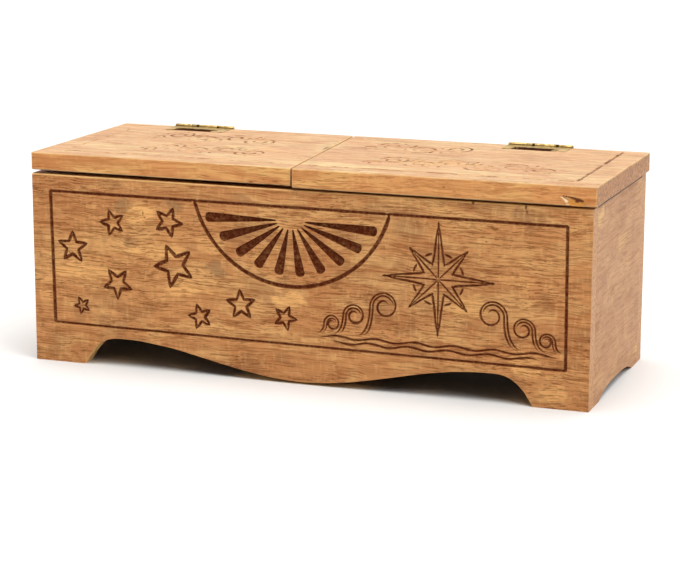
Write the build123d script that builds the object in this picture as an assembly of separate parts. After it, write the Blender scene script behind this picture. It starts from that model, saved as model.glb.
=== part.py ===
from build123d import *
import math
import os

# A long low wooden chest with two lids side by side. Each lid is hung on one brass
# butt hinge that wraps over the top back edge. X runs from left to right, Y from
# front to back, Z up from the surface that the feet stand on. Millimetres.

# Case, measured over the walls.
case_length = 330.0
case_depth = 125.0
case_height = 110.0
wall_thickness = 10.0
end_thickness = 10.0

# Shaped lower edge of the front and back panels: two feet, two arches and a belly.
foot_width = 31.0
arch_flank_run = 25.0
arch_height = 16.6
belly_clearance = 1.4
foot_flank_power = 2.9

# Low arch under each end panel.
end_foot_width = 23.0
end_arch_height = 4.8
end_arch_power = 3.5

# Bottom board in grooves, divider in dados.
bottom_thickness = 6.0
bottom_above_arch = 2.4
groove_depth = 4.0
groove_play = 0.2
divider_thickness = 8.0
divider_lid_play = 0.1
dado_depth = 3.0
dado_play = 0.1

# Lids. Both tops are level, the thicker lid has this gap under it, and the seam runs askew.
lid_gap = 1.2
left_lid_thickness = 10.2
right_lid_thickness = 11.0
seam_width = 0.8
seam_front_x = -5.0
seam_rear_x = -14.0
left_end_overhang = 0.2
right_end_overhang = 2.0
left_front_overhang = 0.3
right_front_overhang = 1.2
front_plank_width = 73.0
lid_edge_radius = 0.8

# Brass butt hinges, 38 mm long.
hinge_length = 38.0
leaf_width = 17.0
leaf_thickness = 0.8
leaf_proud = 0.2
leaf_corner_radius = 1.2
knuckle_radius = 1.3
pin_radius = 0.6
pin_clearance = 0.05
pin_head_radius = 0.9
pin_head_length = 0.5
middle_knuckle_share = 0.44
knuckle_gap = 0.15
left_hinge_inset = 53.5
right_hinge_inset = 62.8
recess_play = 0.1
barrel_relief = 0.2
leaf_pass_play = 0.2

# Countersunk screws, two in each leaf.
screw_end_inset = 7.0
screw_edge_inset = 4.2
screw_head_radius = 2.1
screw_head_depth = 1.3
screw_radius = 1.1
screw_length = 8.5
screw_slot_width = 0.7
screw_slot_depth = 0.6
screw_slot_turns = (25.0, 70.0)

# Brads through the front and back panels into the end panels.
brad_radius = 0.7
brad_head_radius = 1.1
brad_head_thickness = 0.8
brad_length = 24.0
brad_inset = 4.5
left_brad_heights = (21.0, 62.0, 98.0)
right_brad_heights = (9.0, 54.0, 98.0)

# Places that follow from the sizes above.
half_length = case_length / 2
half_depth = case_depth / 2
inner_half_length = half_length - end_thickness
inner_half_depth = half_depth - wall_thickness
bottom_height = arch_height + bottom_above_arch
floor_height = bottom_height + bottom_thickness
arch_peak_x = half_length - foot_width - arch_flank_run
lid_top_height = case_height + lid_gap + max(left_lid_thickness, right_lid_thickness)
divider_centre_x = (seam_front_x + seam_rear_x) / 2
divider_height = case_height + lid_gap - divider_lid_play
screw_from_middle = hinge_length / 2 - screw_end_inset
screw_from_axis = leaf_width - screw_edge_inset
axis_y = half_depth + leaf_proud
axis_z = lid_top_height + leaf_proud
left_hinge_x = -half_length + left_hinge_inset
right_hinge_x = half_length - right_hinge_inset
lid_front_y = -half_depth - max(left_front_overhang, right_front_overhang)

# The frame's origin is under the middle of the whole outline, so every piece moves by this much.
middle_x = (right_end_overhang - left_end_overhang) / 2
middle_y = (lid_front_y + axis_y + knuckle_radius) / 2
to_frame = Location((-middle_x, -middle_y, 0))

pieces = {}


def block(x_range, y_range, z_range):
    """A box between two limits on each axis."""
    size = [high - low for low, high in (x_range, y_range, z_range)]
    middle = [(low + high) / 2 for low, high in (x_range, y_range, z_range)]
    return Pos(*middle) * Box(*size)


def rod(start, direction, radius, length):
    """A round bar from a point along a direction."""
    return extrude(Plane(start, z_dir=direction) * Circle(radius), length)


def turned(start, direction, profile):
    """A body of revolution: (radius, depth) points, turned about a line into the wood."""
    outline = Polyline(*[(radius, depth) for radius, depth in profile], close=True)
    face = Plane.XZ * make_face(outline)
    return Plane(start, z_dir=direction) * revolve(face, Axis.Z)


def apron_edge():
    """Lower edge of a long panel, from the left foot's inner corner to the right one's."""
    foot_x = half_length - foot_width
    flank = []
    for step in range(7):
        rest = 1 - step / 6
        x = arch_peak_x + arch_flank_run * rest
        flank.append((x, arch_height * (1 - rest ** foot_flank_power)))
    belly = []
    for step in range(17):
        x = arch_peak_x * (1 - step / 8)
        wave = (1 - math.cos(math.pi * x / arch_peak_x)) / 2
        belly.append((x, belly_clearance + (arch_height - belly_clearance) * wave))
    mirrored = [(-x, z) for x, z in reversed(flank)]
    level = [(-1, 0), (-1, 0)]
    return Spline(*flank) + Spline(*belly, tangents=level) + Spline(*mirrored)


def long_panel():
    """A front or back panel, its outer face at y = 0 and its thickness towards +y."""
    edge = apron_edge()
    foot_x = half_length - foot_width
    frame = Polyline(
        (-foot_x, 0),
        (-half_length, 0),
        (-half_length, case_height),
        (half_length, case_height),
        (half_length, 0),
        (foot_x, 0),
    )
    outline = make_face(Wire(edge.edges() + frame.edges()))
    return extrude(Plane.XZ * outline, -wall_thickness)


def end_panel():
    """An end panel between the long ones, its outer face at x = 0, thickness towards +x."""
    arch_half = half_depth - end_foot_width
    arch = []
    for step in range(13):
        y = arch_half - 2 * arch_half * step / 12
        arch.append((y, end_arch_height * (1 - abs(y / arch_half) ** end_arch_power)))
    frame = Polyline(
        (-arch_half, 0),
        (-inner_half_depth, 0),
        (-inner_half_depth, case_height),
        (inner_half_depth, case_height),
        (inner_half_depth, 0),
        (arch_half, 0),
    )
    outline = make_face(Wire(Spline(*arch).edges() + frame.edges()))
    return extrude(Plane.YZ * outline, end_thickness)


def brad(x, z, side):
    """A brad driven through a long panel; side is -1 at the front and 1 at the back."""
    start = (x, side * half_depth, z)
    inward = (0, -side, 0)
    head = rod(start, inward, brad_head_radius, brad_head_thickness)
    return head + rod(start, inward, brad_radius, brad_length)


def brad_row(side):
    """The six brads of one long panel."""
    left = [brad(-half_length + brad_inset, z, side) for z in left_brad_heights]
    right = [brad(half_length - brad_inset, z, side) for z in right_brad_heights]
    return left + right


def screw(place):
    """A countersunk screw without its slot: flat head, cone, shank and point."""
    start, inward, _ = place
    return turned(
        start,
        inward,
        [
            (0, 0),
            (screw_head_radius, 0),
            (screw_radius, screw_head_depth),
            (screw_radius, screw_length - screw_radius),
            (0, screw_length),
        ],
    )


def slotted_screw(place):
    """The same screw with the driver's slot across its head, turned as it stopped."""
    start, inward, turn = place
    slot = Box(2 * screw_head_radius + 1, screw_slot_width, 2 * screw_slot_depth)
    return screw(place) - Plane(start, z_dir=inward) * Rot(0, 0, turn) * slot


def screw_places(hinge_x, on_lid):
    """The two screws of a leaf: where each starts, which way it goes, its slot's turn."""
    places = []
    for side, turn in zip((-1, 1), screw_slot_turns):
        x = hinge_x + side * screw_from_middle
        if on_lid:
            places.append(((x, axis_y - screw_from_axis, axis_z), (0, 0, -1), turn))
        else:
            places.append(((x, axis_y, axis_z - screw_from_axis), (0, -1, 0), turn))
    return places


def knuckle(x_range, bore_radius):
    """One tube of the hinge's barrel."""
    start = (x_range[0], axis_y, axis_z)
    length = x_range[1] - x_range[0]
    tube = rod(start, (1, 0, 0), knuckle_radius, length)
    return tube, rod(start, (1, 0, 0), bore_radius, length)


def hinge_leaves(hinge_x):
    """The lid leaf with the middle knuckle and the body leaf with the two outer ones."""
    left = hinge_x - hinge_length / 2
    right = hinge_x + hinge_length / 2
    middle_half = hinge_length * middle_knuckle_share / 2
    middle = (hinge_x - middle_half, hinge_x + middle_half)
    outer = [(left, middle[0] - knuckle_gap), (middle[1] + knuckle_gap, right)]
    edge = knuckle_radius + knuckle_gap

    lid_leaf = block((left, right), (axis_y - leaf_width, axis_y - edge), (axis_z - leaf_thickness, axis_z))
    corners = lid_leaf.edges().filter_by(Axis.Z).group_by(Axis.Y)[0]
    lid_leaf = fillet(corners, leaf_corner_radius)
    lid_leaf += block(middle, (axis_y - edge, axis_y), (axis_z - leaf_thickness, axis_z))
    tube, bore = knuckle(middle, pin_radius + pin_clearance)
    lid_leaf = lid_leaf + tube - bore

    body_leaf = block((left, right), (axis_y - leaf_thickness, axis_y), (axis_z - leaf_width, axis_z - edge))
    corners = body_leaf.edges().filter_by(Axis.Y).group_by(Axis.Z)[0]
    body_leaf = fillet(corners, leaf_corner_radius)
    for x_range in outer:
        body_leaf += block(x_range, (axis_y - leaf_thickness, axis_y), (axis_z - edge, axis_z))
        tube, bore = knuckle(x_range, pin_radius)
        body_leaf = body_leaf + tube - bore
    return lid_leaf, body_leaf


def hinge_pin(hinge_x):
    """The pin through the three knuckles, with a low head at each end."""
    left = hinge_x - hinge_length / 2
    pin = rod((left, axis_y, axis_z), (1, 0, 0), pin_radius, hinge_length)
    for x in (left - pin_head_length, left + hinge_length):
        pin += rod((x, axis_y, axis_z), (1, 0, 0), pin_head_radius, pin_head_length)
    return pin


def hinge_room_in_lid(hinge_x):
    """What a lid loses to its hinge: leaf recess, barrel groove, notch for the body leaf."""
    reach = hinge_length / 2 + pin_head_length + recess_play
    half = hinge_length / 2 + recess_play
    recess = block(
        (hinge_x - half, hinge_x + half),
        (axis_y - leaf_width - recess_play, half_depth + 1),
        (axis_z - leaf_thickness, axis_z + 1),
    )
    groove = rod((hinge_x - reach, axis_y, axis_z), (1, 0, 0), knuckle_radius + barrel_relief, 2 * reach)
    notch = block(
        (hinge_x - half, hinge_x + half),
        (axis_y - leaf_thickness - leaf_pass_play, half_depth + 1),
        (case_height, axis_z),
    )
    return recess + groove + notch


def lid_board(end_x, seam_side, thickness, front_overhang):
    """A lid as one board with softly rounded edges, before it is parted at the glue line."""
    front_y = -half_depth - front_overhang
    seam_gap = seam_side * seam_width / 2
    lean = (seam_rear_x - seam_front_x) / (half_depth - front_y)
    front_x = seam_front_x + seam_gap
    rear_x = front_x + lean * (half_depth - front_y)
    outline = Polyline(
        (end_x, front_y),
        (front_x, front_y),
        (rear_x, half_depth),
        (end_x, half_depth),
        close=True,
    )
    base = Plane.XY.offset(lid_top_height - thickness)
    board = extrude(base * make_face(outline), thickness)
    return fillet(board.edges(), lid_edge_radius)


def add_lid(side, end_x, seam_side, thickness, front_overhang, hinge_x):
    """One lid: its two planks, cut for the hinge and the screws."""
    board = lid_board(end_x, seam_side, thickness, front_overhang)
    places = screw_places(hinge_x, True)
    glue_y = -half_depth - front_overhang + front_plank_width
    wide_x = (-case_length, case_length)
    tall_z = (lid_top_height - thickness - 1, lid_top_height + 1)
    front_half = block(wide_x, (lid_front_y - 1, glue_y), tall_z)
    rear_half = block(wide_x, (glue_y, half_depth + 1), tall_z)
    rear = (board & rear_half) - hinge_room_in_lid(hinge_x)
    for place in places:
        rear -= screw(place)
    pieces[side + "_lid_front_plank"] = board & front_half
    pieces[side + "_lid_rear_plank"] = rear
    pieces[side + "_lid_screws"] = [slotted_screw(place) for place in places]


def add_hinge(side, hinge_x):
    """One hinge: leaves, pin and the screws that go into the back panel."""
    lid_leaf, body_leaf = hinge_leaves(hinge_x)
    for place in screw_places(hinge_x, True):
        lid_leaf -= screw(place)
    places = screw_places(hinge_x, False)
    for place in places:
        body_leaf -= screw(place)
    pieces[side + "_hinge_lid_leaf"] = lid_leaf
    pieces[side + "_hinge_body_leaf"] = body_leaf
    pieces[side + "_hinge_pin"] = hinge_pin(hinge_x)
    pieces[side + "_body_screws"] = [slotted_screw(place) for place in places]


def bottom_slot():
    """The room that the bottom board takes in the walls around it."""
    half_x = inner_half_length + groove_depth
    half_y = inner_half_depth + groove_depth
    return block((-half_x, half_x), (-half_y, half_y), (bottom_height, floor_height + groove_play))


def divider_slot():
    """The room that the divider takes in the front and back panels, open at the top."""
    half_x = divider_thickness / 2 + dado_play
    half_y = inner_half_depth + dado_depth
    return block(
        (divider_centre_x - half_x, divider_centre_x + half_x),
        (-half_y, half_y),
        (floor_height, case_height + 1),
    )


# Walls.
front_brads = brad_row(-1)
back_brads = brad_row(1)
front_panel = Pos(0, -half_depth, 0) * long_panel() - bottom_slot() - divider_slot()
back_panel = Pos(0, half_depth, 0) * Rot(0, 0, 180) * long_panel() - bottom_slot() - divider_slot()
left_end = Pos(-half_length, 0, 0) * end_panel() - bottom_slot()
right_end = Pos(half_length, 0, 0) * Rot(0, 0, 180) * end_panel() - bottom_slot()

for nail in front_brads:
    front_panel -= nail
for nail in back_brads:
    back_panel -= nail
for nail in front_brads + back_brads:
    left_end -= nail
    right_end -= nail

for hinge_x in (left_hinge_x, right_hinge_x):
    half = hinge_length / 2 + recess_play
    back_panel -= block(
        (hinge_x - half, hinge_x + half),
        (axis_y - leaf_thickness, half_depth + 1),
        (axis_z - leaf_width - recess_play, case_height + 1),
    )
    for place in screw_places(hinge_x, False):
        back_panel -= screw(place)

pieces["front_panel"] = front_panel
pieces["back_panel"] = back_panel
pieces["left_end_panel"] = left_end
pieces["right_end_panel"] = right_end
pieces["front_brads"] = front_brads
pieces["back_brads"] = back_brads

# Floor and divider.
board_half_x = inner_half_length + groove_depth - groove_play
board_half_y = inner_half_depth + groove_depth - groove_play
pieces["bottom_board"] = block(
    (-board_half_x, board_half_x),
    (-board_half_y, board_half_y),
    (bottom_height, floor_height),
)
divider_half_y = inner_half_depth + dado_depth - dado_play
pieces["centre_divider"] = block(
    (divider_centre_x - divider_thickness / 2, divider_centre_x + divider_thickness / 2),
    (-divider_half_y, divider_half_y),
    (floor_height, divider_height),
)

# Lids and hinges.
left_end_x = -half_length - left_end_overhang
right_end_x = half_length + right_end_overhang
add_lid("left", left_end_x, -1, left_lid_thickness, left_front_overhang, left_hinge_x)
add_lid("right", right_end_x, 1, right_lid_thickness, right_front_overhang, right_hinge_x)
add_hinge("left", left_hinge_x)
add_hinge("right", right_hinge_x)

os.makedirs("parts", exist_ok=True)
for name, shape in pieces.items():
    solids = shape if isinstance(shape, list) else list(shape.solids())
    placed = [to_frame * solid for solid in solids]
    whole = placed[0] if len(placed) == 1 else Compound(children=placed)
    export_step(whole, f"parts/{name}.step")

print(f"hinge axis y {axis_y - middle_y:.3f}, z {axis_z:.3f}, origin shift {middle_x:.3f} {middle_y:.3f}")
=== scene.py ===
"""Looks of a long wooden keepsake chest with two lids side by side.

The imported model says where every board, hinge and screw is. This script copies the boards,
wears their edges, cuts the carving into them and gives each wood and metal its finish.
Sizes in the classes are millimetres. Meshes are in metres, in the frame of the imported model.
"""

import logging
import math
from dataclasses import dataclass, field
from enum import Enum
from functools import partial

import bmesh
import bpy
import numpy as np
from mathutils import Matrix, Vector, noise
from mathutils.geometry import delaunay_2d_cdt


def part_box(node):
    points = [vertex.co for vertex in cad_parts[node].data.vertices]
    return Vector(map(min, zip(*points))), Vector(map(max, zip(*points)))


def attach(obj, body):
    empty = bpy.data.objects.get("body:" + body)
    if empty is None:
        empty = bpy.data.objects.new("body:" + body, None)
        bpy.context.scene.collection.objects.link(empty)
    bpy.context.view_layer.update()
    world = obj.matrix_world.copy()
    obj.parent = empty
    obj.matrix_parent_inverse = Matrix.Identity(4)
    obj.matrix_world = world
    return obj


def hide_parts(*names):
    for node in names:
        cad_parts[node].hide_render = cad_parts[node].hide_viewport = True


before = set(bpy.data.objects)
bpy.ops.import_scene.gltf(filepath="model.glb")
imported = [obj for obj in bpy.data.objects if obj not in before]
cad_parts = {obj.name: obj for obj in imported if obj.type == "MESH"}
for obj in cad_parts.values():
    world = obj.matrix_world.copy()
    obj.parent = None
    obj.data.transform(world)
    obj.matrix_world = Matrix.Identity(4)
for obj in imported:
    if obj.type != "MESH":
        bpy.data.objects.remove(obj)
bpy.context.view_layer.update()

LOG = logging.getLogger("keepsake_chest")
MM = 0.001
# Points this near to a plane count as lying on it.
FLUSH = 0.02 * MM


class Body(Enum):
    """The bodies that move on their own."""

    CASE = "case"
    LEFT_LID = "left_lid"
    RIGHT_LID = "right_lid"


class Grain(Enum):
    """The axis that a board's fibres follow."""

    ALONG_X = 0
    ALONG_Y = 1


def linear(hex_colour: str) -> tuple[float, float, float, float]:
    """Turns an sRGB hex colour to the linear values that a shader takes.

    Args:
        hex_colour: Six hex digits after a hash sign.

    Returns:
        Linear red, green and blue, and an alpha of one.
    """
    channels = [int(hex_colour[i : i + 2], 16) / 255 for i in (1, 3, 5)]
    return (*(c / 12.92 if c <= 0.04045 else ((c + 0.055) / 1.055) ** 2.4 for c in channels), 1.0)


def give(tree: bpy.types.NodeTree, node: bpy.types.Node, values: dict) -> bpy.types.Node:
    """Gives a node its settings and links.

    Args:
        tree: The node tree that holds the node.
        node: The node.
        values: What the node is given, by the name of a property or by the name or number of an
            input. An output socket, or a node for its first one, is linked, a hex colour is made
            linear, and "stops" fills a colour ramp.

    Returns:
        The node.
    """
    for key, value in values.items():
        if isinstance(value, bpy.types.Node):
            value = value.outputs[0]
        if key == "stops":
            ramp = node.color_ramp
            while len(ramp.elements) < len(value):
                ramp.elements.new(1.0)
            for element, (place, colour) in zip(ramp.elements, value):
                element.position = place
                element.color = linear(colour)
        elif isinstance(value, bpy.types.NodeSocket):
            tree.links.new(value, node.inputs[key])
        elif isinstance(key, str) and hasattr(node, key):
            setattr(node, key, value)
        else:
            hex_colour = isinstance(value, str) and value.startswith("#")
            node.inputs[key].default_value = linear(value) if hex_colour else value
    return node


def add_node(tree: bpy.types.NodeTree, kind: str, values: dict | None = None) -> bpy.types.Node:
    """Adds a node with its settings and links, as `give` reads them."""
    return give(tree, tree.nodes.new(kind), values or {})


Given = bpy.types.NodeSocket | bpy.types.Node


def stirred(tree: bpy.types.NodeTree, source: Given, size: float, sway: float, detail: float = 3.0) -> Given:
    """Coordinates bent by a cloud, so that what is laid on them waves or gets a torn edge.

    Args:
        tree: The material's tree.
        source: The coordinates.
        size: Size of the cloud's lumps, in mm.
        sway: How far the cloud moves a point, in mm.
        detail: Octaves of the cloud.

    Returns:
        The bent coordinates.
    """
    cloud = add_node(tree, "ShaderNodeTexNoise", {
        "Scale": 1 / (size * MM), "Detail": detail, "Roughness": 0.6, "Vector": source,
    })
    centred = add_node(tree, "ShaderNodeVectorMath", {
        "operation": "SUBTRACT", 0: cloud.outputs["Color"], 1: (0.5,) * 3,
    })
    return add_node(tree, "ShaderNodeVectorMath", {
        "operation": "MULTIPLY_ADD", 0: centred, 1: (sway * MM,) * 3, 2: source,
    })


def clouded(tree: bpy.types.NodeTree, source: Given, size: float, cut: tuple[float, float],
            ends: tuple[float, float] = (0.0, 1.0), blend: str = "LINEAR", **cloud: float) -> Given:
    """A share that follows a cloud of noise.

    Args:
        tree: The material's tree.
        source: The coordinates.
        size: Size of the cloud's lumps, in mm.
        cut: The noise values between which the share changes.
        ends: The share at each of them.
        blend: How it changes in between.
        cloud: More of the noise's own settings.

    Returns:
        The share.
    """
    lumps = add_node(tree, "ShaderNodeTexNoise", {"Scale": 1 / (size * MM), "Vector": source, **cloud})
    return add_node(tree, "ShaderNodeMapRange", {
        "interpolation_type": blend, "From Min": cut[0], "From Max": cut[1], "To Min": ends[0],
        "To Max": ends[1], "Value": lumps,
    })


def product(tree: bpy.types.NodeTree, first: Given, *factors: Given | float) -> Given:
    """The product of shares, never above one."""
    for factor in factors:
        first = add_node(tree, "ShaderNodeMath", {
            "operation": "MULTIPLY", "use_clamp": True, 0: first, 1: factor,
        })
    return first


def coated(tree: bpy.types.NodeTree, ground: Given | str, coats: list) -> Given:
    """Lays coats on a ground colour, each a share with a tone or with gains for the channels."""
    for share, tone in coats:
        if isinstance(tone, tuple):
            tone = add_node(tree, "ShaderNodeVectorMath", {"operation": "MULTIPLY", 0: ground, 1: tone})
        ground = add_node(tree, "ShaderNodeMix", {
            "data_type": "RGBA", 0: share, 6: ground, 7: tone,
        }).outputs[2]
    return ground


def new_material(name: str) -> tuple[bpy.types.Material, bpy.types.NodeTree]:
    """An empty material and its tree."""
    material = bpy.data.materials.new(name)
    material.use_nodes = True
    return material, material.node_tree


Triple = tuple[float, float, float]


@dataclass(frozen=True)
class Blot:
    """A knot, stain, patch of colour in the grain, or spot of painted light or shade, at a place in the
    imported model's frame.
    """

    place: Triple
    reach: Triple
    tone: str
    share: float = 0.9
    core: float = 0.3


def facing(tree: bpy.types.NodeTree, axis: int, none: float, full: float, most: float = 1.0,
           either: bool = True) -> Given:
    """A share that grows with a face's turn towards an axis.

    Args:
        tree: The material's tree.
        axis: 0, 1 or 2 for X, Y or Z.
        none: The part of the normal on that axis where the share is zero.
        full: The part where it is at its most.
        most: The share there.
        either: Whether both directions of the axis count.

    Returns:
        The share.
    """
    normal = add_node(tree, "ShaderNodeTexCoord").outputs["Normal"]
    part = add_node(tree, "ShaderNodeSeparateXYZ", {0: normal}).outputs[axis]
    if either:
        part = add_node(tree, "ShaderNodeMath", {"operation": "ABSOLUTE", 0: part})
    return add_node(tree, "ShaderNodeMapRange", {
        "From Min": none, "From Max": full, "To Max": most, "Value": part,
    })


def laid(tree: bpy.types.NodeTree, source: Given, blots: tuple[Blot, ...]) -> list:
    """The coats that lay blots on coordinates, each coat a share and a tone."""
    coats = []
    for blot in blots:
        shifted = add_node(tree, "ShaderNodeVectorMath", {
            "operation": "MULTIPLY_ADD", 0: source, 1: [1 / (r * MM) for r in blot.reach],
            2: [-p / r for p, r in zip(blot.place, blot.reach)],
        })
        away = add_node(tree, "ShaderNodeVectorMath", {"operation": "LENGTH", 0: shifted})
        near = add_node(tree, "ShaderNodeMapRange", {
            "interpolation_type": "SMOOTHSTEP", "From Min": 1.0, "From Max": blot.core,
            "To Max": blot.share, "Value": away.outputs["Value"],
        })
        coats.append((near, blot.tone))
    return coats


@dataclass(frozen=True)
class WoodFinish:
    """A waxed, figured hardwood, planed and hand sanded.

    The wood is a mango or acacia kind: honey patches and greyish smudges in a brown ground, with
    fine wavy grain lines and short dark pores, which the wax leaves half glossy. End grain is
    darker and dotted with pores. Cut grooves are scorched brown. Arrises are pale, partly from
    wear and partly a painted highlight, and faces that look down get a painted shade.
    """

    name: str
    ground: str
    warm: str
    pale: str
    line: str
    pore: str
    smudge: str
    grain: Grain
    seed: float
    slant: float = 1.2
    patch_mm: tuple[float, float] = (58.0, 30.0)
    smudge_mm: tuple[float, float] = (26.0, 19.0)
    line_mm: tuple[float, float] = (26.0, 1.0)
    pore_mm: tuple[float, float] = (5.0, 0.45)
    patch_share: float = 0.8
    smudge_share: float = 0.6
    line_share: float = 0.6
    pore_share: float = 0.8
    streak_share: float = 0.24
    fleck_share: float = 0.2
    end_tones: tuple[str, str, str] = ("#8C6242", "#A87C56", "#BC9168")
    # A gain on upright sides, which leaves the top paler as a painted sheen.
    edge_gain: Triple | None = None
    # The tone of the painted shade on faces that look down.
    under_shade_tone: str = "#341406"
    shades_flats: bool = True
    char_full: float = 0.24
    char_mm: float = 1.9
    worn_mm: float = 9.0
    end_dot_mm: float = 1.8
    roughness: float = 0.5
    gleam: float = 0.12
    # How pale the arrises get: partly wear, partly a painted highlight.
    arris_gain: float = 0.35
    scorch: str = "#4E1B06"
    rubbed_out: float = 0.0
    glue_line_y: float | None = None
    # Knot marks, nicks, and spots of painted highlight and painted shade.
    knots_and_painted_light: tuple[Blot, ...] = ()
    # Patches of colour in the grain; on the lids some stand for a painted sheen.
    figure_and_sheen: tuple[Blot, ...] = ()

    def layer(self, tree: bpy.types.NodeTree, source: Given, size: tuple[float, float], shift: float,
              cut: tuple[float, float], share: float = 1.0, detail: float = 3.0,
              distortion: float = 0.0) -> Given:
        """One layer of noise, stretched with the grain and cut to a share from 0 to its most.

        Args:
            tree: The material's tree.
            source: The coordinates.
            size: Length with the grain and width across it, in mm.
            shift: Moves the pattern, so that the layers differ.
            cut: The noise values at which the share starts and is full.
            share: The most that the layer covers.
            detail: Octaves of the noise.
            distortion: How much the noise is stirred.

        Returns:
            The share.
        """
        scale = [1 / (size[1] * MM)] * 3
        scale[self.grain.value] = 1 / (size[0] * MM)
        stretched = add_node(tree, "ShaderNodeMapping", {
            "Scale": scale, "Rotation": [math.radians(self.slant)] * 3,
            "Location": (self.seed + shift, shift, self.seed), "Vector": source,
        })
        return clouded(
            tree, stretched, 1 / MM, cut, (0.0, share), "SMOOTHSTEP", Detail=detail, Roughness=0.6,
            Distortion=distortion,
        )

    def glue_line(self, tree: bpy.types.NodeTree, source: Given) -> Given:
        """The share of the thin line where two planks are glued edge to edge."""
        across = add_node(tree, "ShaderNodeSeparateXYZ", {0: source}).outputs[1]
        line = add_node(tree, "ShaderNodeMath", {
            "operation": "COMPARE", 0: across, 1: self.glue_line_y * MM, 2: 0.2 * MM,
        })
        return product(tree, line, 0.6)

    def end_grain(self, tree: bpy.types.NodeTree, source: Given) -> Given:
        """The colour of cut fibre ends, dotted with pores."""
        dots = add_node(tree, "ShaderNodeTexNoise", {
            "Scale": 1 / (self.end_dot_mm * MM), "Detail": 5.0, "Roughness": 0.75, "Vector": source,
        })
        stops = list(zip((0.38, 0.5, 0.62), self.end_tones))
        return add_node(tree, "ShaderNodeValToRGB", {"stops": stops, 0: dots})

    def painted_under_shade(self, tree: bpy.types.NodeTree) -> Given:
        """The share of painted shade under the board, or only on its lower arrises if its flat side shows."""
        share = facing(tree, 2, -0.35, -0.7, 0.9, either=False)
        if self.shades_flats:
            return share
        edge = add_node(tree, "ShaderNodeAttribute", {"attribute_name": "arris"}).outputs["Fac"]
        return product(tree, share, edge)

    def rubbed_and_highlit(self, tree: bpy.types.NodeTree, source: Given) -> Given:
        """The share of pale on the arrises: wax and colour that hands took off, and a painted highlight."""
        wear = add_node(tree, "ShaderNodeAttribute", {"attribute_name": "arris"}).outputs["Fac"]
        rub = add_node(tree, "ShaderNodeTexNoise", {
            "Scale": 1 / (self.worn_mm * MM), "Detail": 3.0, "Vector": source,
        })
        return product(tree, wear, rub, 2 * self.arris_gain)

    def scorched(self, tree: bpy.types.NodeTree, source: Given) -> Given:
        """The share of char in the grooves: all of it, or what wear has left."""
        carved = add_node(tree, "ShaderNodeAttribute", {"attribute_name": "cut"}).outputs["Fac"]
        share = add_node(tree, "ShaderNodeMapRange", {
            "From Min": 0.01, "From Max": self.char_full, "Value": carved,
        })
        mottle = clouded(tree, source, self.char_mm, (0.42, 0.7), (1.0, 0.7), Detail=4.0, Roughness=0.7)
        if not self.rubbed_out:
            return product(tree, share, mottle)
        left_over = clouded(
            tree, source, self.worn_mm, (0.47, 0.6), (1.0 - self.rubbed_out, 1.0), Detail=4.0, Roughness=0.65,
        )
        firm = add_node(tree, "ShaderNodeMapRange", {
            "From Min": 0.35, "From Max": 0.85, "To Max": 0.75, "Value": carved,
        })
        kept = add_node(tree, "ShaderNodeMath", {"operation": "MAXIMUM", 0: left_over, 1: firm})
        return product(tree, share, mottle, kept)

    def build(self) -> bpy.types.Material:
        """Makes the material: coats over the ground, then the sheen and the relief of the grain."""
        material, tree = new_material(self.name)
        straight = add_node(tree, "ShaderNodeTexCoord").outputs["Object"]
        source = stirred(tree, stirred(tree, straight, 55.0, 5.5, 1.0), 13.0, 1.5, 1.0)
        layer = partial(self.layer, tree, source)
        lines = layer(self.line_mm, 14.0, (0.48, 0.62), self.line_share, 5.0)
        crowd = layer((40.0, 14.0), 21.0, (0.34, 0.6))
        pores = product(tree, layer(self.pore_mm, 25.0, (0.54, 0.62), self.pore_share, 2.0), crowd)
        scorched = self.scorched(tree, straight)
        coats = [
            (layer((95.0, 48.0), 1.0, (0.36, 0.64)), self.warm),
            (layer(self.patch_mm, 4.0, (0.46, 0.63), self.patch_share, 3.0, 0.6), self.pale),
            (layer(self.smudge_mm, 9.0, (0.56, 0.64), self.smudge_share, 2.0, 0.3), self.smudge),
            *laid(tree, stirred(tree, straight, 15.0, 17.0), self.figure_and_sheen),
            (layer((1.9, 9.0), 29.0, (0.5, 0.72), self.fleck_share, 2.0), self.pale),
            (layer((40.0, 3.4), 17.0, (0.4, 0.7), self.streak_share), self.line),
            (lines, self.line),
            (pores, self.pore),
        ]
        # Upright sides get a deeper, warmer gain than the top, so that the paler top stands for a painted
        # sheen.
        if self.edge_gain is not None:
            coats.append((facing(tree, 2, 0.8, 0.4), self.edge_gain))
        coats += [
            (facing(tree, self.grain.value, 0.55, 0.85), self.end_grain(tree, straight)),
            # Painted shade on faces that look down.
            (self.painted_under_shade(tree), self.under_shade_tone),
            # Pale arrises: partly wear, partly a painted highlight.
            (self.rubbed_and_highlit(tree, straight), self.pale),
            *laid(tree, stirred(tree, straight, 1.6, 0.5), self.knots_and_painted_light),
        ]
        if self.glue_line_y is not None:
            coats.append((self.glue_line(tree, straight), self.pore))
        coats.append((scorched, self.scorch))

        gloss = add_node(tree, "ShaderNodeMapRange", {
            "To Min": self.roughness - 0.06, "To Max": self.roughness + 0.14, "Value": lines,
        })
        rough = add_node(tree, "ShaderNodeMath", {
            "operation": "MULTIPLY_ADD", "use_clamp": True, 0: scorched, 1: 0.35, 2: gloss,
        })
        height = add_node(tree, "ShaderNodeMath", {"operation": "MULTIPLY_ADD", 0: lines, 1: 0.6, 2: pores})
        bump = add_node(tree, "ShaderNodeBump", {
            "invert": True, "Strength": 0.5, "Distance": 0.1 * MM, "Height": height,
        })
        give(tree, tree.nodes["Principled BSDF"], {
            "Base Color": coated(tree, self.ground, coats), "Roughness": rough, "Normal": bump, "IOR": 1.5,
            "Specular IOR Level": self.gleam,
        })
        return material


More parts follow.
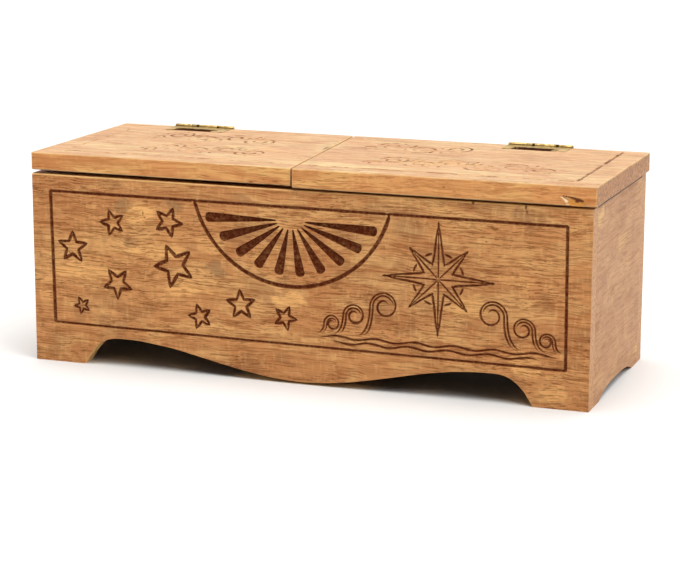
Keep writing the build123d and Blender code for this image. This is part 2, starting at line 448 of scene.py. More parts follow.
@dataclass(frozen=True)
class MetalFinish:
    """A worn metal: polished where hands rub it, dull and brown where they don't; a flat leaf can get a
    painted dark reflection across its middle.
    """

    name: str
    bright: str
    tarnish: str
    tarnish_share: float
    roughness: float
    metallic: float = 1.0
    scratch_mm: float = 0.5
    tarnish_mm: float = 3.2
    painted_reflection_middle: tuple[float, float] | None = None
    painted_reflection_size: tuple[float, float] = (12.0, 4.0)
    blots: tuple[Blot, ...] = ()

    def build(self) -> bpy.types.Material:
        """Makes the material with its tarnish clouds and fine rubbing marks."""
        material, tree = new_material(self.name)
        source = add_node(tree, "ShaderNodeTexCoord").outputs["Object"]
        tarnish_and_dark_reflection = clouded(
            tree, source, self.tarnish_mm, (0.48, 0.7), (0.0, self.tarnish_share), Detail=5.0, Roughness=0.65,
        )
        shine = {"Metallic": self.metallic}
        # A painted dark reflection across the middle of the leaf: a dark tone and less metal there.
        if self.painted_reflection_middle is not None:
            dark_reflection = self.painted_reflection_mask(tree, stirred(tree, source, 5.0, 6.0))
            tarnish_and_dark_reflection = add_node(tree, "ShaderNodeMath", {"operation": "MAXIMUM", 0: tarnish_and_dark_reflection, 1: dark_reflection})
            bare = add_node(tree, "ShaderNodeMapRange", {
                "To Min": self.metallic, "To Max": 0.0, "Value": dark_reflection,
            })
            shine = {"Metallic": bare, "Specular IOR Level": 0.05}
        # Blots of marks, painted highlights and painted shade.
        stains_and_painted_light = laid(tree, stirred(tree, source, 1.5, 0.6), self.blots)
        drawn = add_node(tree, "ShaderNodeMapping", {
            "Scale": [1 / (12 * self.scratch_mm * MM)] + [1 / (self.scratch_mm * MM)] * 2, "Vector": source,
        })
        scratches = add_node(tree, "ShaderNodeTexNoise", {"Scale": 1.0, "Detail": 3.0, "Vector": drawn})
        rough = add_node(tree, "ShaderNodeMath", {
            "operation": "MULTIPLY_ADD", 0: scratches, 1: 0.25, 2: self.roughness - 0.1,
        })
        worn = add_node(tree, "ShaderNodeMath", {
            "operation": "MULTIPLY_ADD", "use_clamp": True, 0: tarnish_and_dark_reflection, 1: 0.5, 2: rough,
        })
        bump = add_node(tree, "ShaderNodeBump", {
            "Strength": 0.25, "Distance": 0.03 * MM, "Height": scratches,
        })
        give(tree, tree.nodes["Principled BSDF"], {
            "Base Color": coated(tree, self.bright, [*stains_and_painted_light, (tarnish_and_dark_reflection, self.tarnish)]), "Roughness": worn,
            "Normal": bump, **shine,
        })
        return material

    def painted_reflection_mask(self, tree: bpy.types.NodeTree, source: Given) -> Given:
        """One in the middle of the leaf, in front of the barrel, where the painted dark reflection lies."""
        parts = add_node(tree, "ShaderNodeSeparateXYZ", {0: source}).outputs
        shares = []
        for part, middle, half in zip(parts, self.painted_reflection_middle, self.painted_reflection_size):
            away = add_node(tree, "ShaderNodeMath", {"operation": "SUBTRACT", 0: part, 1: middle * MM})
            size = add_node(tree, "ShaderNodeMath", {"operation": "ABSOLUTE", 0: away})
            shares.append(add_node(tree, "ShaderNodeMapRange", {
                "interpolation_type": "SMOOTHSTEP", "From Min": (half + 1.6) * MM,
                "From Max": (half - 0.6) * MM, "Value": size,
            }))
        return product(tree, *shares)


Point = tuple[float, float]


def polar(centre: Point, reach: float, angle: float, squash: float = 1.0) -> Point:
    """The point at a reach and an angle in radians from a centre, its height drawn out or squashed."""
    return centre[0] + reach * math.cos(angle), centre[1] + squash * reach * math.sin(angle)


def to_pieces(points: np.ndarray, start: np.ndarray, end: np.ndarray) -> tuple[np.ndarray, np.ndarray]:
    """Measures how far points are from straight pieces.

    Args:
        points: The points, one per row.
        start: Where each piece starts.
        end: Where it ends.

    Returns:
        By point and piece, where along the piece the nearest spot is, and the distance to it.
    """
    run = end - start
    spot = points[:, None] - start
    share = np.clip(np.sum(spot * run, axis=2) / np.maximum(np.sum(run * run, axis=1), 1e-12), 0, 1)
    return share, np.linalg.norm(spot - run * share[..., None], axis=2)


def inside(points: np.ndarray, sides) -> np.ndarray:
    """Tells which points lie inside closed loops, given as the two ends of every side."""
    hit = np.zeros(len(points), bool)
    for (x0, y0), (x1, y1) in sides:
        if y0 != y1:
            spans = (points[:, 1] > y0) != (points[:, 1] > y1)
            hit ^= spans & (points[:, 0] < x0 + (points[:, 1] - y0) * (x1 - x0) / (y1 - y0))
    return hit


@dataclass(frozen=True)
class Stroke:
    """One pass of a V-shaped gouge along a path on a board's face."""

    path: tuple[Point, ...]
    half_width: float = 0.5
    closed: bool = False
    taper: tuple[float, float] = (1.5, 1.5)
    shake: float = 0.12
    swell: float = 0.2
    kept: bool = False

    def traced(self, step: float = 1.6) -> tuple[np.ndarray, np.ndarray]:
        """Walks the path as the hand did.

        Args:
            step: The longest straight piece, in mm.

        Returns:
            The points, and the half width of the cut at each.
        """
        corners = [np.array(p, float) for p in self.path]
        if self.closed:
            corners.append(corners[0])
        points = [corners[0]]
        for start, end in zip(corners, corners[1:]):
            parts = max(1, math.ceil(float(np.linalg.norm(end - start)) / step))
            points += [start + (end - start) * (i + 1) / parts for i in range(parts)]
        line = np.array(points)
        run = np.concatenate([[0.0], np.cumsum(np.linalg.norm(np.diff(line, axis=0), axis=1))])
        width = np.empty(len(line))
        for index, (u, v) in enumerate(line.tolist()):
            width[index] = self.half_width * (1 + self.swell * noise.noise(Vector((u / 5, v / 5, 3.7))))
            sway = noise.noise_vector(Vector((u / 7, v / 7, 9.1)))
            line[index] += self.shake * np.array([sway.x, sway.y])
        if self.closed:
            line[-1], width[-1] = line[0], width[0]
        else:
            rise = np.clip(run / max(self.taper[0], 1e-6), 0.0, 1.0) if self.taper[0] else 1.0
            fall = np.clip((run[-1] - run) / max(self.taper[1], 1e-6), 0.0, 1.0) if self.taper[1] else 1.0
            width = width * np.sqrt(rise * fall)
        return line, width


@dataclass(frozen=True)
class Pocket:
    """A long hollow with a flat floor: narrow at one end, full and round at the other."""

    tip: Point
    end: Point
    half_width: float = 3.05
    tip_half_width: float = 0.4
    round_end: float = 2.6
    depth: float = 1.1
    wall: float = 0.5

    def outline(self, inset: float) -> list[Point]:
        """The hollow's edge, or a line inside it, from the tip round the far end."""
        tip, end = np.array(self.tip, float), np.array(self.end, float)
        length = float(np.linalg.norm(end - tip))
        axis = (end - tip) / length
        side = np.array([-axis[1], axis[0]])
        half = []
        for part in range(25):
            along = length * math.sin(math.pi / 2 * part / 24)
            width = self.tip_half_width + (self.half_width - self.tip_half_width) * (along / length) ** 0.85
            past = max(0.0, (along - length + self.round_end) / self.round_end)
            width = width * math.sqrt(max(0.0, 1 - past ** 2.4)) - inset
            if width > 0.05 and along < length - inset:
                half.append((along, width))
        half.append((length - inset, 0.0))
        points = [tuple(tip + axis * a + side * w) for a, w in half]
        points += [tuple(tip + axis * a - side * w) for a, w in half[-2::-1]]
        return points


@dataclass
class CarvingPlan:
    """All the cuts of one face, and how deep the wood lies at any point of it."""

    strokes: list[Stroke] = field(default_factory=list)
    pockets: list[Pocket] = field(default_factory=list)
    steepness: float = 1.25
    deepest: float = 1.1

    def guides(self) -> list[tuple[list[Point], bool]]:
        """Lines that the face's triangles have to follow: both edges and the bottom of each cut."""
        lines: list[tuple[list[Point], bool]] = []
        for stroke in self.strokes:
            line, width = stroke.traced()
            ahead = np.diff(line, axis=0)
            ahead /= np.linalg.norm(ahead, axis=1)[:, None]
            before = np.vstack([ahead[-1] if stroke.closed else ahead[0], ahead])
            after = np.vstack([ahead, ahead[0] if stroke.closed else ahead[-1]])
            normal = np.stack([-(before + after)[:, 1], (before + after)[:, 0]], axis=1)
            normal /= np.maximum(np.linalg.norm(normal, axis=1), 1e-6)[:, None]
            bend = np.clip(np.sum(normal[:, ::-1] * [1, -1] * -before, axis=1), 0.4, 1.0)
            offset = normal * (width / bend)[:, None]
            for edge in (line, line + offset, line - offset):
                points = [tuple(p) for p in (edge[:-1] if stroke.closed else edge)]
                lines.append((points, stroke.closed))
        for pocket in self.pockets:
            lines += [(pocket.outline(0.0), True), (pocket.outline(pocket.wall), True)]
        return lines

    def depth_at(self, points: np.ndarray) -> tuple[np.ndarray, np.ndarray]:
        """Depth of the carved surface below the face.

        Args:
            points: Places on the face, in mm.

        Returns:
            The depth at each place, in mm, and whether the char there is kept from all wear.
        """
        depth = np.zeros(len(points))
        kept = np.zeros(len(points), bool)
        for stroke in self.strokes:
            line, width = stroke.traced()
            beside = (points > line.min(axis=0) - 3) & (points < line.max(axis=0) + 3)
            near = np.where(np.all(beside, axis=1))[0]
            if len(near):
                share, away = to_pieces(points[near], line[:-1], line[1:])
                local = width[:-1] * (1 - share) + width[1:] * share
                cut = (self.steepness * (local - away)).max(axis=1)
                depth[near] = np.maximum(depth[near], cut)
                kept[near] |= stroke.kept & (cut > 0)
        depth = np.clip(depth, 0, self.deepest)
        for pocket in self.pockets:
            edge = np.array(pocket.outline(0.0))
            ahead = np.roll(edge, -1, axis=0)
            away = to_pieces(points, edge, ahead)[1].min(axis=1)
            sunk = np.clip(away / pocket.wall * pocket.depth, 0, pocket.depth)
            depth = np.maximum(depth, np.where(inside(points, zip(edge, ahead)), sunk, 0.0))
        return np.where(depth < 0.004, 0.0, depth), kept


class Motif:
    """Common carved ornaments, each a list of strokes from a few sizes in mm."""

    @staticmethod
    def star(centre: Point, radius: float, turn: float, half_width: float) -> Stroke:
        """A five-pointed star drawn in one line, its tips a little uneven."""
        points = []
        for index in range(10):
            reach = radius * (0.44 if index % 2 else 1.0)
            reach *= 1 + 0.06 * noise.noise(Vector((centre[0], index * 2.3, centre[1])))
            points.append(polar(centre, reach, math.radians(turn + 36 * index)))
        return Stroke(tuple(points), half_width, closed=True)

    @staticmethod
    def arc(centre: Point, radius: float, start: float, end: float, parts: int) -> tuple[Point, ...]:
        """Points on an arc between two angles in degrees."""
        angles = [math.radians(start + (end - start) * i / parts) for i in range(parts + 1)]
        return tuple(polar(centre, radius, angle) for angle in angles)

    @staticmethod
    def wave(foot: Point, curl: Point, radius: float, side: int, half_width: float = 0.36) -> list[Stroke]:
        """A rolling wave: a long back that rises from its foot and curls over into a spiral.

        Args:
            foot: Where the back starts.
            curl: Middle of the spiral.
            radius: Outer radius of the spiral.
            side: 1 if the wave rolls to the right, -1 to the left.
            half_width: Half the width of the cut.

        Returns:
            The back with its spiral, and a shorter line that follows it inside.
        """
        strokes = []
        for inset, turns in ((0.0, 1.45), (1.7, 0.5)):
            spiral = []
            for share in (i / 34 for i in range(35)):
                angle = math.pi * 1.05 - 2 * math.pi * turns * share
                reach = (radius - inset) * (1 - 0.74 * share * turns / 1.45)
                spiral.append((curl[0] + side * reach * math.cos(angle), curl[1] + reach * math.sin(angle)))
            start = (foot[0] + side * inset * 2.2, foot[1] + inset * 0.4)
            first = spiral[0]
            bend = (first[0] - side * 0.5, start[1] + 0.12 * (first[1] - start[1]))
            back = []
            for t in (i / 12 for i in range(12)):
                parts = zip(start, bend, first)
                back.append(tuple((1 - t) ** 2 * s + 2 * t * (1 - t) * b + t * t * f for s, b, f in parts))
            strokes.append(Stroke(tuple(back + spiral), half_width, taper=(6.0, 4.0)))
        return strokes

    @staticmethod
    def compass(centre: Point, reach: float, ring: float, half_width: float = 0.37) -> list[Stroke]:
        """A compass rose: four long and four short kite points round a broken ring."""
        strokes = []
        clear = math.degrees(2.6 / ring)
        for index in range(8):
            short = index % 2
            angle = math.radians(90 + 45 * index)
            tip = polar(centre, 0.74 * reach if short else reach, angle)
            left, right = (polar(centre, 0.27 * reach, angle + math.radians(t)) for t in (22.5, -22.5))
            start = math.degrees(angle) + clear + (1 if short else 2)
            gap = Motif.arc(centre, ring, start, start + 42 - 2 * clear, 10)
            strokes += [
                Stroke((left, tip, right), half_width, taper=(0.0, 0.0)),
                Stroke((tip, centre), 0.8 * half_width, taper=(3.0, 1.0)),
                Stroke(gap, half_width),
            ]
        return strokes


@dataclass(frozen=True)
class FrontCarving:
    """What is cut in the front panel, measured from its lower left corner."""

    frame_corners: tuple[Point, ...] = ((11.6, 100.3), (12.8, 23.4), (316.8, 21.6), (316.2, 99.9))
    frame_widths: tuple[float, ...] = (0.52, 0.38, 0.47, 0.44)
    fan_centre: Point = (159.4, 115.0)
    fan_radius: float = 59.6
    fan_petals: int = 10
    petal_reach: float = 53.9
    petal_flare: float = 2.6
    petal_first: float = 204.6
    petal_step: float = 14.33
    hub: Point = (159.2, 92.3)
    hub_size: Point = (8.2, 4.6)
    stars: tuple[tuple[float, float, float, float], ...] = (
        (24.9, 68.3, 9.1, 89.0), (50.6, 84.2, 7.3, 36.1), (85.3, 86.9, 8.4, 68.5),
        (88.7, 62.1, 12.3, 42.0), (53.0, 49.1, 8.9, 54.0), (30.2, 34.3, 4.9, 42.5),
        (104.3, 33.9, 7.1, 34.8), (129.2, 42.8, 8.6, 94.7), (155.9, 37.3, 6.8, 67.7),
    )
    rose_centre: Point = (245.0, 66.0)
    rose_reach: float = 31.5
    rose_ring: float = 14.5

    def plan(self) -> CarvingPlan:
        """Collects the frame, stars, fan, compass rose and waves."""
        corners = self.frame_corners
        strokes = [
            Stroke((corners[i], corners[(i + 1) % 4]), width, taper=(0.0, 0.0), shake=0.04, swell=0.08)
            for i, width in enumerate(self.frame_widths)
        ]
        for x, z, radius, turn in self.stars:
            strokes.append(Motif.star((x, z), radius - 0.1, turn, 0.34 + 0.017 * radius))
        top = self.frame_corners[0][1] - 0.2
        drop = math.degrees(math.asin((self.fan_centre[1] - top) / self.fan_radius))
        bow = Motif.arc(self.fan_centre, self.fan_radius, 180 + drop, 360 - drop, 70)
        strokes.append(Stroke(bow, 0.56, taper=(0.0, 0.0), shake=0.05, swell=0.1))
        pockets = []
        for index in range(self.fan_petals):
            angle = math.radians(self.petal_first + self.petal_step * index)
            share = index / (self.fan_petals - 1)
            reach = self.petal_reach + self.petal_flare * (2 * share - 1) ** 4
            wide, tall = self.hub_size
            tip = polar(self.hub, wide, math.pi * (1 + share), tall / wide)
            pockets.append(Pocket(tip, polar(self.fan_centre, reach, angle)))
        strokes += Motif.compass(self.rose_centre, self.rose_reach, self.rose_ring)
        strokes += self.waves()
        return CarvingPlan(strokes, pockets)

    def waves(self) -> list[Stroke]:
        """Rolling waves that rise towards the rose from both sides, over two lines of water."""
        strokes = []
        for side in (1, -1):
            for away, height, radius in ((61.0, 36.5, 5.0), (48.0, 42.0, 6.8), (30.5, 48.5, 8.6)):
                curl = (self.rose_centre[0] - side * away, height)
                foot = (curl[0] - side * radius * 1.9, 30.6)
                strokes += Motif.wave(foot, curl, radius, side)
        for row, (low, high) in enumerate(((176.0, 313.0), (184.0, 303.0))):
            places = [low + (high - low) * step / 90 for step in range(91)]
            water = tuple((x, 29.0 - 2.8 * row + 0.8 * math.sin(x / 3.6 + row)) for x in places)
            strokes.append(Stroke(water, 0.36, taper=(8.0, 8.0)))
        return strokes


@dataclass(frozen=True)
class LidCarving:
    """A border line and a running scroll, worn thin, measured from the lids' front left corner."""

    border_x: tuple[float, float] = (14.5, 317.6)
    border_y: tuple[float, float] = (14.0, 121.0)
    scrolls: tuple[tuple[float, float, float, int], ...] = (
        (58.0, 128.0, 46.0, 4), (196.0, 300.0, 44.0, 6), (44.0, 118.0, 88.0, 4), (178.0, 236.0, 92.0, 3),
    )
    volute: float = 9.0
    half_width: float = 0.5

    def plan(self, low_x: float, high_x: float, low_y: float, high_y: float) -> CarvingPlan:
        """The cuts that fall inside one plank.

        Args:
            low_x: The plank's left limit.
            high_x: Its right limit.
            low_y: Its front limit.
            high_y: Its rear limit.

        Returns:
            The plan of that plank's face.
        """
        kept = []
        for stroke in self.strokes():
            run: list[Point] = []
            line, _ = stroke.traced(0.8)
            for x, y in [tuple(p) for p in line] + [(1e6, 1e6)]:
                if low_x < x < high_x and low_y < y < high_y:
                    run.append((x, y))
                    continue
                if len(run) > 5:
                    kept.append(
                        Stroke(tuple(run), stroke.half_width, taper=(1.0, 1.0), shake=0.0, kept=stroke.kept)
                    )
                run = []
        return CarvingPlan(kept, [], steepness=0.65)

    def strokes(self) -> list[Stroke]:
        """Border lines and scrolls over both lids."""
        left, right = self.border_x
        front, rear = self.border_y
        strokes = [
            Stroke(((right, front), (right, rear)), 0.5, kept=True),
            Stroke(((left, front), (right, front)), 0.5),
            Stroke(((left, front), (left, rear)), 0.3),
        ]
        for low, high, middle, count in self.scrolls:
            strokes += self.scroll(low, high, middle, count)
        return strokes

    def scroll(self, low: float, high: float, middle: float, count: int) -> list[Stroke]:
        """A row of volutes that curl up and down in turn, with a leaf at each join.

        Args:
            low: Left end of the row.
            high: Its right end.
            middle: The row's height on the lid.
            count: How many volutes it has.

        Returns:
            The strokes of the row.
        """
        strokes = []
        pitch = (high - low) / count
        for index in range(count):
            side = -1 if index % 2 else 1
            centre = (low + pitch * (index + 0.5), middle + 3.5 * side)
            curl = tuple(
                polar(centre, (pitch / 2 + 0.6) * (1 - 0.8 * t), math.pi - side * 2 * math.pi * 1.6 * t, 1.25)
                for t in (step / 44 for step in range(45))
            )
            strokes.append(Stroke(curl, self.half_width, taper=(2.0, 3.0)))
            join = (low + pitch * index, middle - 2.0 * side)
            for lean in (-50.0, -15.0, 25.0):
                tip = polar(join, self.volute, math.radians(-90.0 * side + lean), 1.3)
                bend = polar(join, 0.5 * self.volute, math.radians(-90.0 * side + 1.6 * lean), 1.3)
                strokes.append(Stroke((join, bend, tip), self.half_width, taper=(1.5, 4.0)))
        return strokes


def welded(node: str) -> bmesh.types.BMesh:
    """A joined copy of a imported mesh, with its flat sides as single faces."""
    mesh = bmesh.new()
    mesh.from_mesh(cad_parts[node].data)
    bmesh.ops.remove_doubles(mesh, verts=mesh.verts, dist=2e-6)
    bmesh.ops.dissolve_limit(mesh, angle_limit=math.radians(0.4), verts=mesh.verts, edges=mesh.edges)
    bmesh.ops.recalc_face_normals(mesh, faces=mesh.faces)
    return mesh


def bevelled(mesh: bmesh.types.BMesh, degrees: float, offset: float, segments: int, material: int = 0,
             chosen=lambda edge: True) -> None:
    """Rounds the chosen edges where two faces meet at more than an angle.

    Args:
        mesh: The shape.
        degrees: The least angle between the faces.
        offset: How far the rounding reaches into each face, in mm.
        segments: Steps of the rounding.
        material: The material number that it gets.
        chosen: Tells which edges to take.
    """
    edges = [
        e for e in mesh.edges
        if len(e.link_faces) == 2 and e.calc_face_angle(0.0) > math.radians(degrees) and chosen(e)
    ]
    if offset > 0 and edges:
        bmesh.ops.bevel(
            mesh, geom=edges, offset=offset * MM, offset_type="OFFSET", segments=segments, profile=0.5,
            affect="EDGES", clamp_overlap=True, material=material,
        )


def heads(node: str) -> list[tuple[Vector, Vector]]:
    """The middle of each fastener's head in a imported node, and the way it looks out."""
    mesh = welded(node)
    seen, found = set(), []
    for first in mesh.verts:
        if first in seen:
            continue
        seen.add(first)
        group = [first]
        for vert in group:
            for other in (edge.other_vert(vert) for edge in vert.link_edges):
                if other not in seen:
                    seen.add(other)
                    group.append(other)
        spots = np.array([vert.co for vert in group])
        low, high = spots.min(axis=0), spots.max(axis=0)
        axis = int(np.argmax(high - low))
        off = spots - (low + high) / 2
        widest = np.argmax((off ** 2).sum(axis=1) - off[:, axis] ** 2)
        outward = np.eye(3)[axis] * np.sign(off[widest, axis])
        found.append((Vector((low + high) / 2 + outward * (high - low)[axis] / 2), Vector(outward)))
    mesh.free()
    return found


def placed(name: str, data) -> bpy.types.Object:
    """Puts a light, camera or mesh into the scene as an object. A shape still in work becomes a mesh."""
    if isinstance(data, bmesh.types.BMesh):
        shape, data = data, bpy.data.meshes.new(name)
        shape.to_mesh(data)
        shape.free()
    piece = bpy.data.objects.new(name, data)
    bpy.context.scene.collection.objects.link(piece)
    return piece


def applied(piece: bpy.types.Object) -> None:
    """Turns what the piece's modifier makes into its plain mesh."""
    bpy.context.view_layer.update()
    before = piece.data
    made = piece.evaluated_get(bpy.context.evaluated_depsgraph_get())
    piece.data = bpy.data.meshes.new_from_object(made)
    piece.modifiers.clear()
    bpy.data.meshes.remove(before)


def hand_over(piece: bpy.types.Object, body: Body, slot: str, *nodes: str) -> None:
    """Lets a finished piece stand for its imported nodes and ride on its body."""
    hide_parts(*nodes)
    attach(piece, body.value)
    LOG.info("%s: %d faces", piece.name, len(piece.data.polygons))


@dataclass(frozen=True)
class FacePlane:
    """A flat side of a board, with the two directions that its carving is measured in."""

    origin: Vector
    across: Vector
    up: Vector
    outward: Vector

    def flat(self, place: Vector) -> Point:
        """A place on the face in mm from the origin."""
        away = (place - self.origin) / MM
        return away.dot(self.across), away.dot(self.up)

    def solid(self, point: Point, depth: float) -> Vector:
        """The place in the frame of a point of the face, sunk by a depth in mm."""
        return self.origin + (self.across * point[0] + self.up * point[1] - self.outward * depth) * MM


@dataclass(frozen=True)
class Chip:
    """A splinter torn out of a board's edge, cut with a rough lens-shaped tool."""

    place: Triple
    reach: Triple
    turn: float = 0.0
    roughness: float = 0.35

    def cut(self, piece: bpy.types.Object) -> None:
        """Takes the splinter out of the piece."""
        shape = bmesh.new()
        bmesh.ops.create_icosphere(shape, subdivisions=4, radius=1.0)
        turned = Matrix.Rotation(math.radians(self.turn), 3, "Y")
        for vert in shape.verts:
            rough = 1 + self.roughness * noise.noise(vert.co * 2.2 + Vector(self.place))
            rough += 0.12 * noise.noise(vert.co * 7.0)
            reached = Vector([c * r * rough for c, r in zip(vert.co, self.reach)])
            vert.co = (turned @ reached + Vector(self.place)) * MM
        tool = placed("splinter", shape)
        change = piece.modifiers.new("torn_out", "BOOLEAN")
        change.operation, change.solver, change.object = "DIFFERENCE", "EXACT", tool
        applied(piece)
        bpy.data.meshes.remove(tool.data)


@dataclass
class WornBoard:
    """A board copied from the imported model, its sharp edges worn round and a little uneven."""

    node: str
    finish: WoodFinish
    body: Body
    slot: str
    arris: float = 0.45
    wobble: float = 0.14
    spared: tuple[Vector, ...] = ()
    broad: float = 60.0
    cell: float = 9.0
    joint_y: float | None = None
    chips: tuple[Chip, ...] = ()
    handled: tuple[float, float] | None = None
    sawn_side: int = 0
    sharp_degrees: float = 35.0
    hole_reach: float = 3.0
    bump_mm: float = 14.0

    def is_spared(self, edge: bmesh.types.BMEdge) -> bool:
        """True for the rims of nail holes, a glue joint and a sawn end, which stay sharp."""
        if self.sawn_side and any(f.normal.x * self.sawn_side > 0.9 for f in edge.link_faces):
            return True
        if self.joint_y is not None and all(abs(v.co.y - self.joint_y) < FLUSH for v in edge.verts):
            return True
        return self.near_hole((edge.verts[0].co + edge.verts[1].co) / 2)

    def near_hole(self, place: Vector) -> bool:
        """True near the middle of a nail or screw hole's mouth."""
        return any((place - spot * MM).length < self.hole_reach * MM for spot in self.spared)

    def in_front(self, edge: bmesh.types.BMEdge, height: float) -> bool:
        """True for an edge of the board's front face at a height in mm."""
        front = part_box(self.node)[0].y
        return all(abs(v.co.y - front) < FLUSH and abs(v.co.z - height * MM) < FLUSH for v in edge.verts)

    def rub(self, mesh: bmesh.types.BMesh) -> None:
        """Rounds the sharp edges and cuts the board in cells, so that its edges can waver.

        Flat sides keep material number 0. Curved ones and the rounded edges get number 1.
        """
        sides: dict[tuple, float] = {}
        keys = {}
        for face in mesh.faces:
            offset = face.normal.dot(face.verts[0].co)
            keys[face] = tuple(round(c, 3) for c in face.normal) + (round(offset / FLUSH),)
            sides[keys[face]] = sides.get(keys[face], 0.0) + face.calc_area()
        for face in mesh.faces:
            face.material_index = 0 if sides[keys[face]] > self.broad * MM * MM else 1
        if self.handled:
            height, offset = self.handled
            bevelled(
                mesh, self.sharp_degrees, offset, 3, 1,
                lambda e: not self.is_spared(e) and self.in_front(e, height),
            )
        bevelled(mesh, self.sharp_degrees, self.arris, 3, 1, lambda e: not self.is_spared(e))
        low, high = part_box(self.node)
        for axis in range(3):
            span = high[axis] - low[axis]
            cells = round(span / (self.cell * MM))
            for index in range(1, cells):
                place, normal = Vector(low), Vector((0.0, 0.0, 0.0))
                place[axis] += span * index / cells
                normal[axis] = 1.0
                bmesh.ops.bisect_plane(
                    mesh, geom=mesh.verts[:] + mesh.edges[:] + mesh.faces[:], dist=5e-6,
                    plane_co=place, plane_no=normal,
                )

    def waver(self, mesh: bmesh.types.BMesh) -> None:
        """Moves the edge points a little inwards, and marks the worn arrises for the finish."""
        mesh.normal_update()
        arris = mesh.verts.layers.float.new("arris")
        mesh.verts.layers.float.new("cut")
        for vert in mesh.verts:
            flats = [f.normal for f in vert.link_faces if f.material_index == 0]
            vert[arris] = 0.0 if flats or self.near_hole(vert.co) else 1.0
            if len(flats) == len(vert.link_faces):
                continue
            sway = noise.noise_vector(vert.co / (self.bump_mm * MM)) * self.wobble * MM
            for normal in flats:
                sway -= normal * sway.dot(normal)
            sway -= vert.normal * max(0.0, vert.normal.dot(sway))
            for normal in flats:
                sway -= normal * sway.dot(normal)
            vert.co += sway
        low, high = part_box(self.node)
        for vert in mesh.verts:
            vert.co = [min(max(vert.co[i], low[i]), high[i]) for i in range(3)]

    def shape(self) -> bmesh.types.BMesh:
        """The finished shape of the board."""
        mesh = welded(self.node)
        self.rub(mesh)
        self.waver(mesh)
        return mesh

    def build(self) -> None:
        """Makes the piece, dresses it and lets it stand for its node."""
        shape = self.shape()
        for face in shape.faces:
            face.smooth = face.material_index == 1
            face.material_index = 0
        piece = placed(self.node + "_worn", shape)
        piece.data.materials.append(self.finish.build())
        for chip in self.chips:
            chip.cut(piece)
        hand_over(piece, self.body, self.slot, self.node)


@dataclass
class CarvedBoard(WornBoard):
    """A worn board with a carving cut into one flat side."""

    plane: FacePlane | None = None
    plan: CarvingPlan = field(default_factory=CarvingPlan)

    def shape(self) -> bmesh.types.BMesh:
        """The worn board with the carving cut in."""
        mesh = super().shape()
        self.carve(mesh)
        return mesh

    def carve(self, mesh: bmesh.types.BMesh) -> None:
        """Replaces the flat side with triangles that follow every cut."""
        plane = self.plane
        side = [
            f for f in mesh.faces
            if f.normal.dot(plane.outward) > 0.999
            and abs((f.calc_center_median() - plane.origin).dot(plane.outward)) < FLUSH
        ]
        chosen = set(side)
        rim = [e for f in side for e in f.edges if sum(g in chosen for g in e.link_faces) == 1]
        rim_verts = list(dict.fromkeys(v for e in rim for v in e.verts))
        number = {v: i for i, v in enumerate(rim_verts)}
        points = [Vector(plane.flat(v.co)) for v in rim_verts]
        segments = [(number[e.verts[0]], number[e.verts[1]]) for e in rim]
        rim_count, outline = len(points), [(points[a], points[b]) for a, b in segments]
        for line, closed in self.plan.guides():
            first = len(points)
            points += [Vector(p) for p in line]
            segments += [(first + i, first + i + 1) for i in range(len(line) - 1)]
            if closed:
                segments.append((len(points) - 1, first))
        verts, _, triangles, origins, _, _ = delaunay_2d_cdt(points, segments, [], 0, 1e-4)
        flat = np.array([tuple(v) for v in verts])
        depth, kept = self.plan.depth_at(flat)
        middles = np.array([flat[list(t)].mean(axis=0) for t in triangles])
        within = inside(middles, outline)
        cut, arris = mesh.verts.layers.float["cut"], mesh.verts.layers.float["arris"]
        bmesh.ops.delete(mesh, geom=side, context="FACES_KEEP_BOUNDARY")
        made = []
        for index, place in enumerate(flat.tolist()):
            old = [o for o in origins[index] if o < rim_count]
            if old:
                made.append(rim_verts[old[0]])
                continue
            vert = mesh.verts.new(plane.solid(tuple(place), float(depth[index])))
            vert[cut] = float(depth[index]) / self.plan.deepest + (1.0 if kept[index] else 0.0)
            vert[arris] = 0.0
            made.append(vert)
        flip = plane.across.cross(plane.up).dot(plane.outward) < 0
        for triangle, keep in zip(triangles, within):
            if not keep:
                continue
            corners = [made[i] for i in triangle]
            if len(set(corners)) == 3:
                try:
                    mesh.faces.new(corners[::-1] if flip else corners)
                except ValueError:
                    LOG.warning("%s: a triangle was there already", self.node)
        loose = [v for v in mesh.verts if not v.link_faces]
        bmesh.ops.delete(mesh, geom=loose, context="VERTS")


@dataclass(frozen=True)
class Casting:
    """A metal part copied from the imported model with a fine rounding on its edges."""

    node: str
    body: Body
    slot: str
    rounding: float

    def build(self, material: bpy.types.Material) -> None:
        """Makes the rounded copy and lets it stand for its node."""
        mesh = welded(self.node)
        bevelled(mesh, 50, self.rounding, 2)
        for face in mesh.faces:
            face.smooth = face.calc_area() < 12 * MM * MM
        piece = placed(self.node + "_rounded", mesh)
        piece.data.set_sharp_from_angle(angle=math.radians(40))
        piece.data.materials.append(material)
        hand_over(piece, self.body, self.slot, self.node)


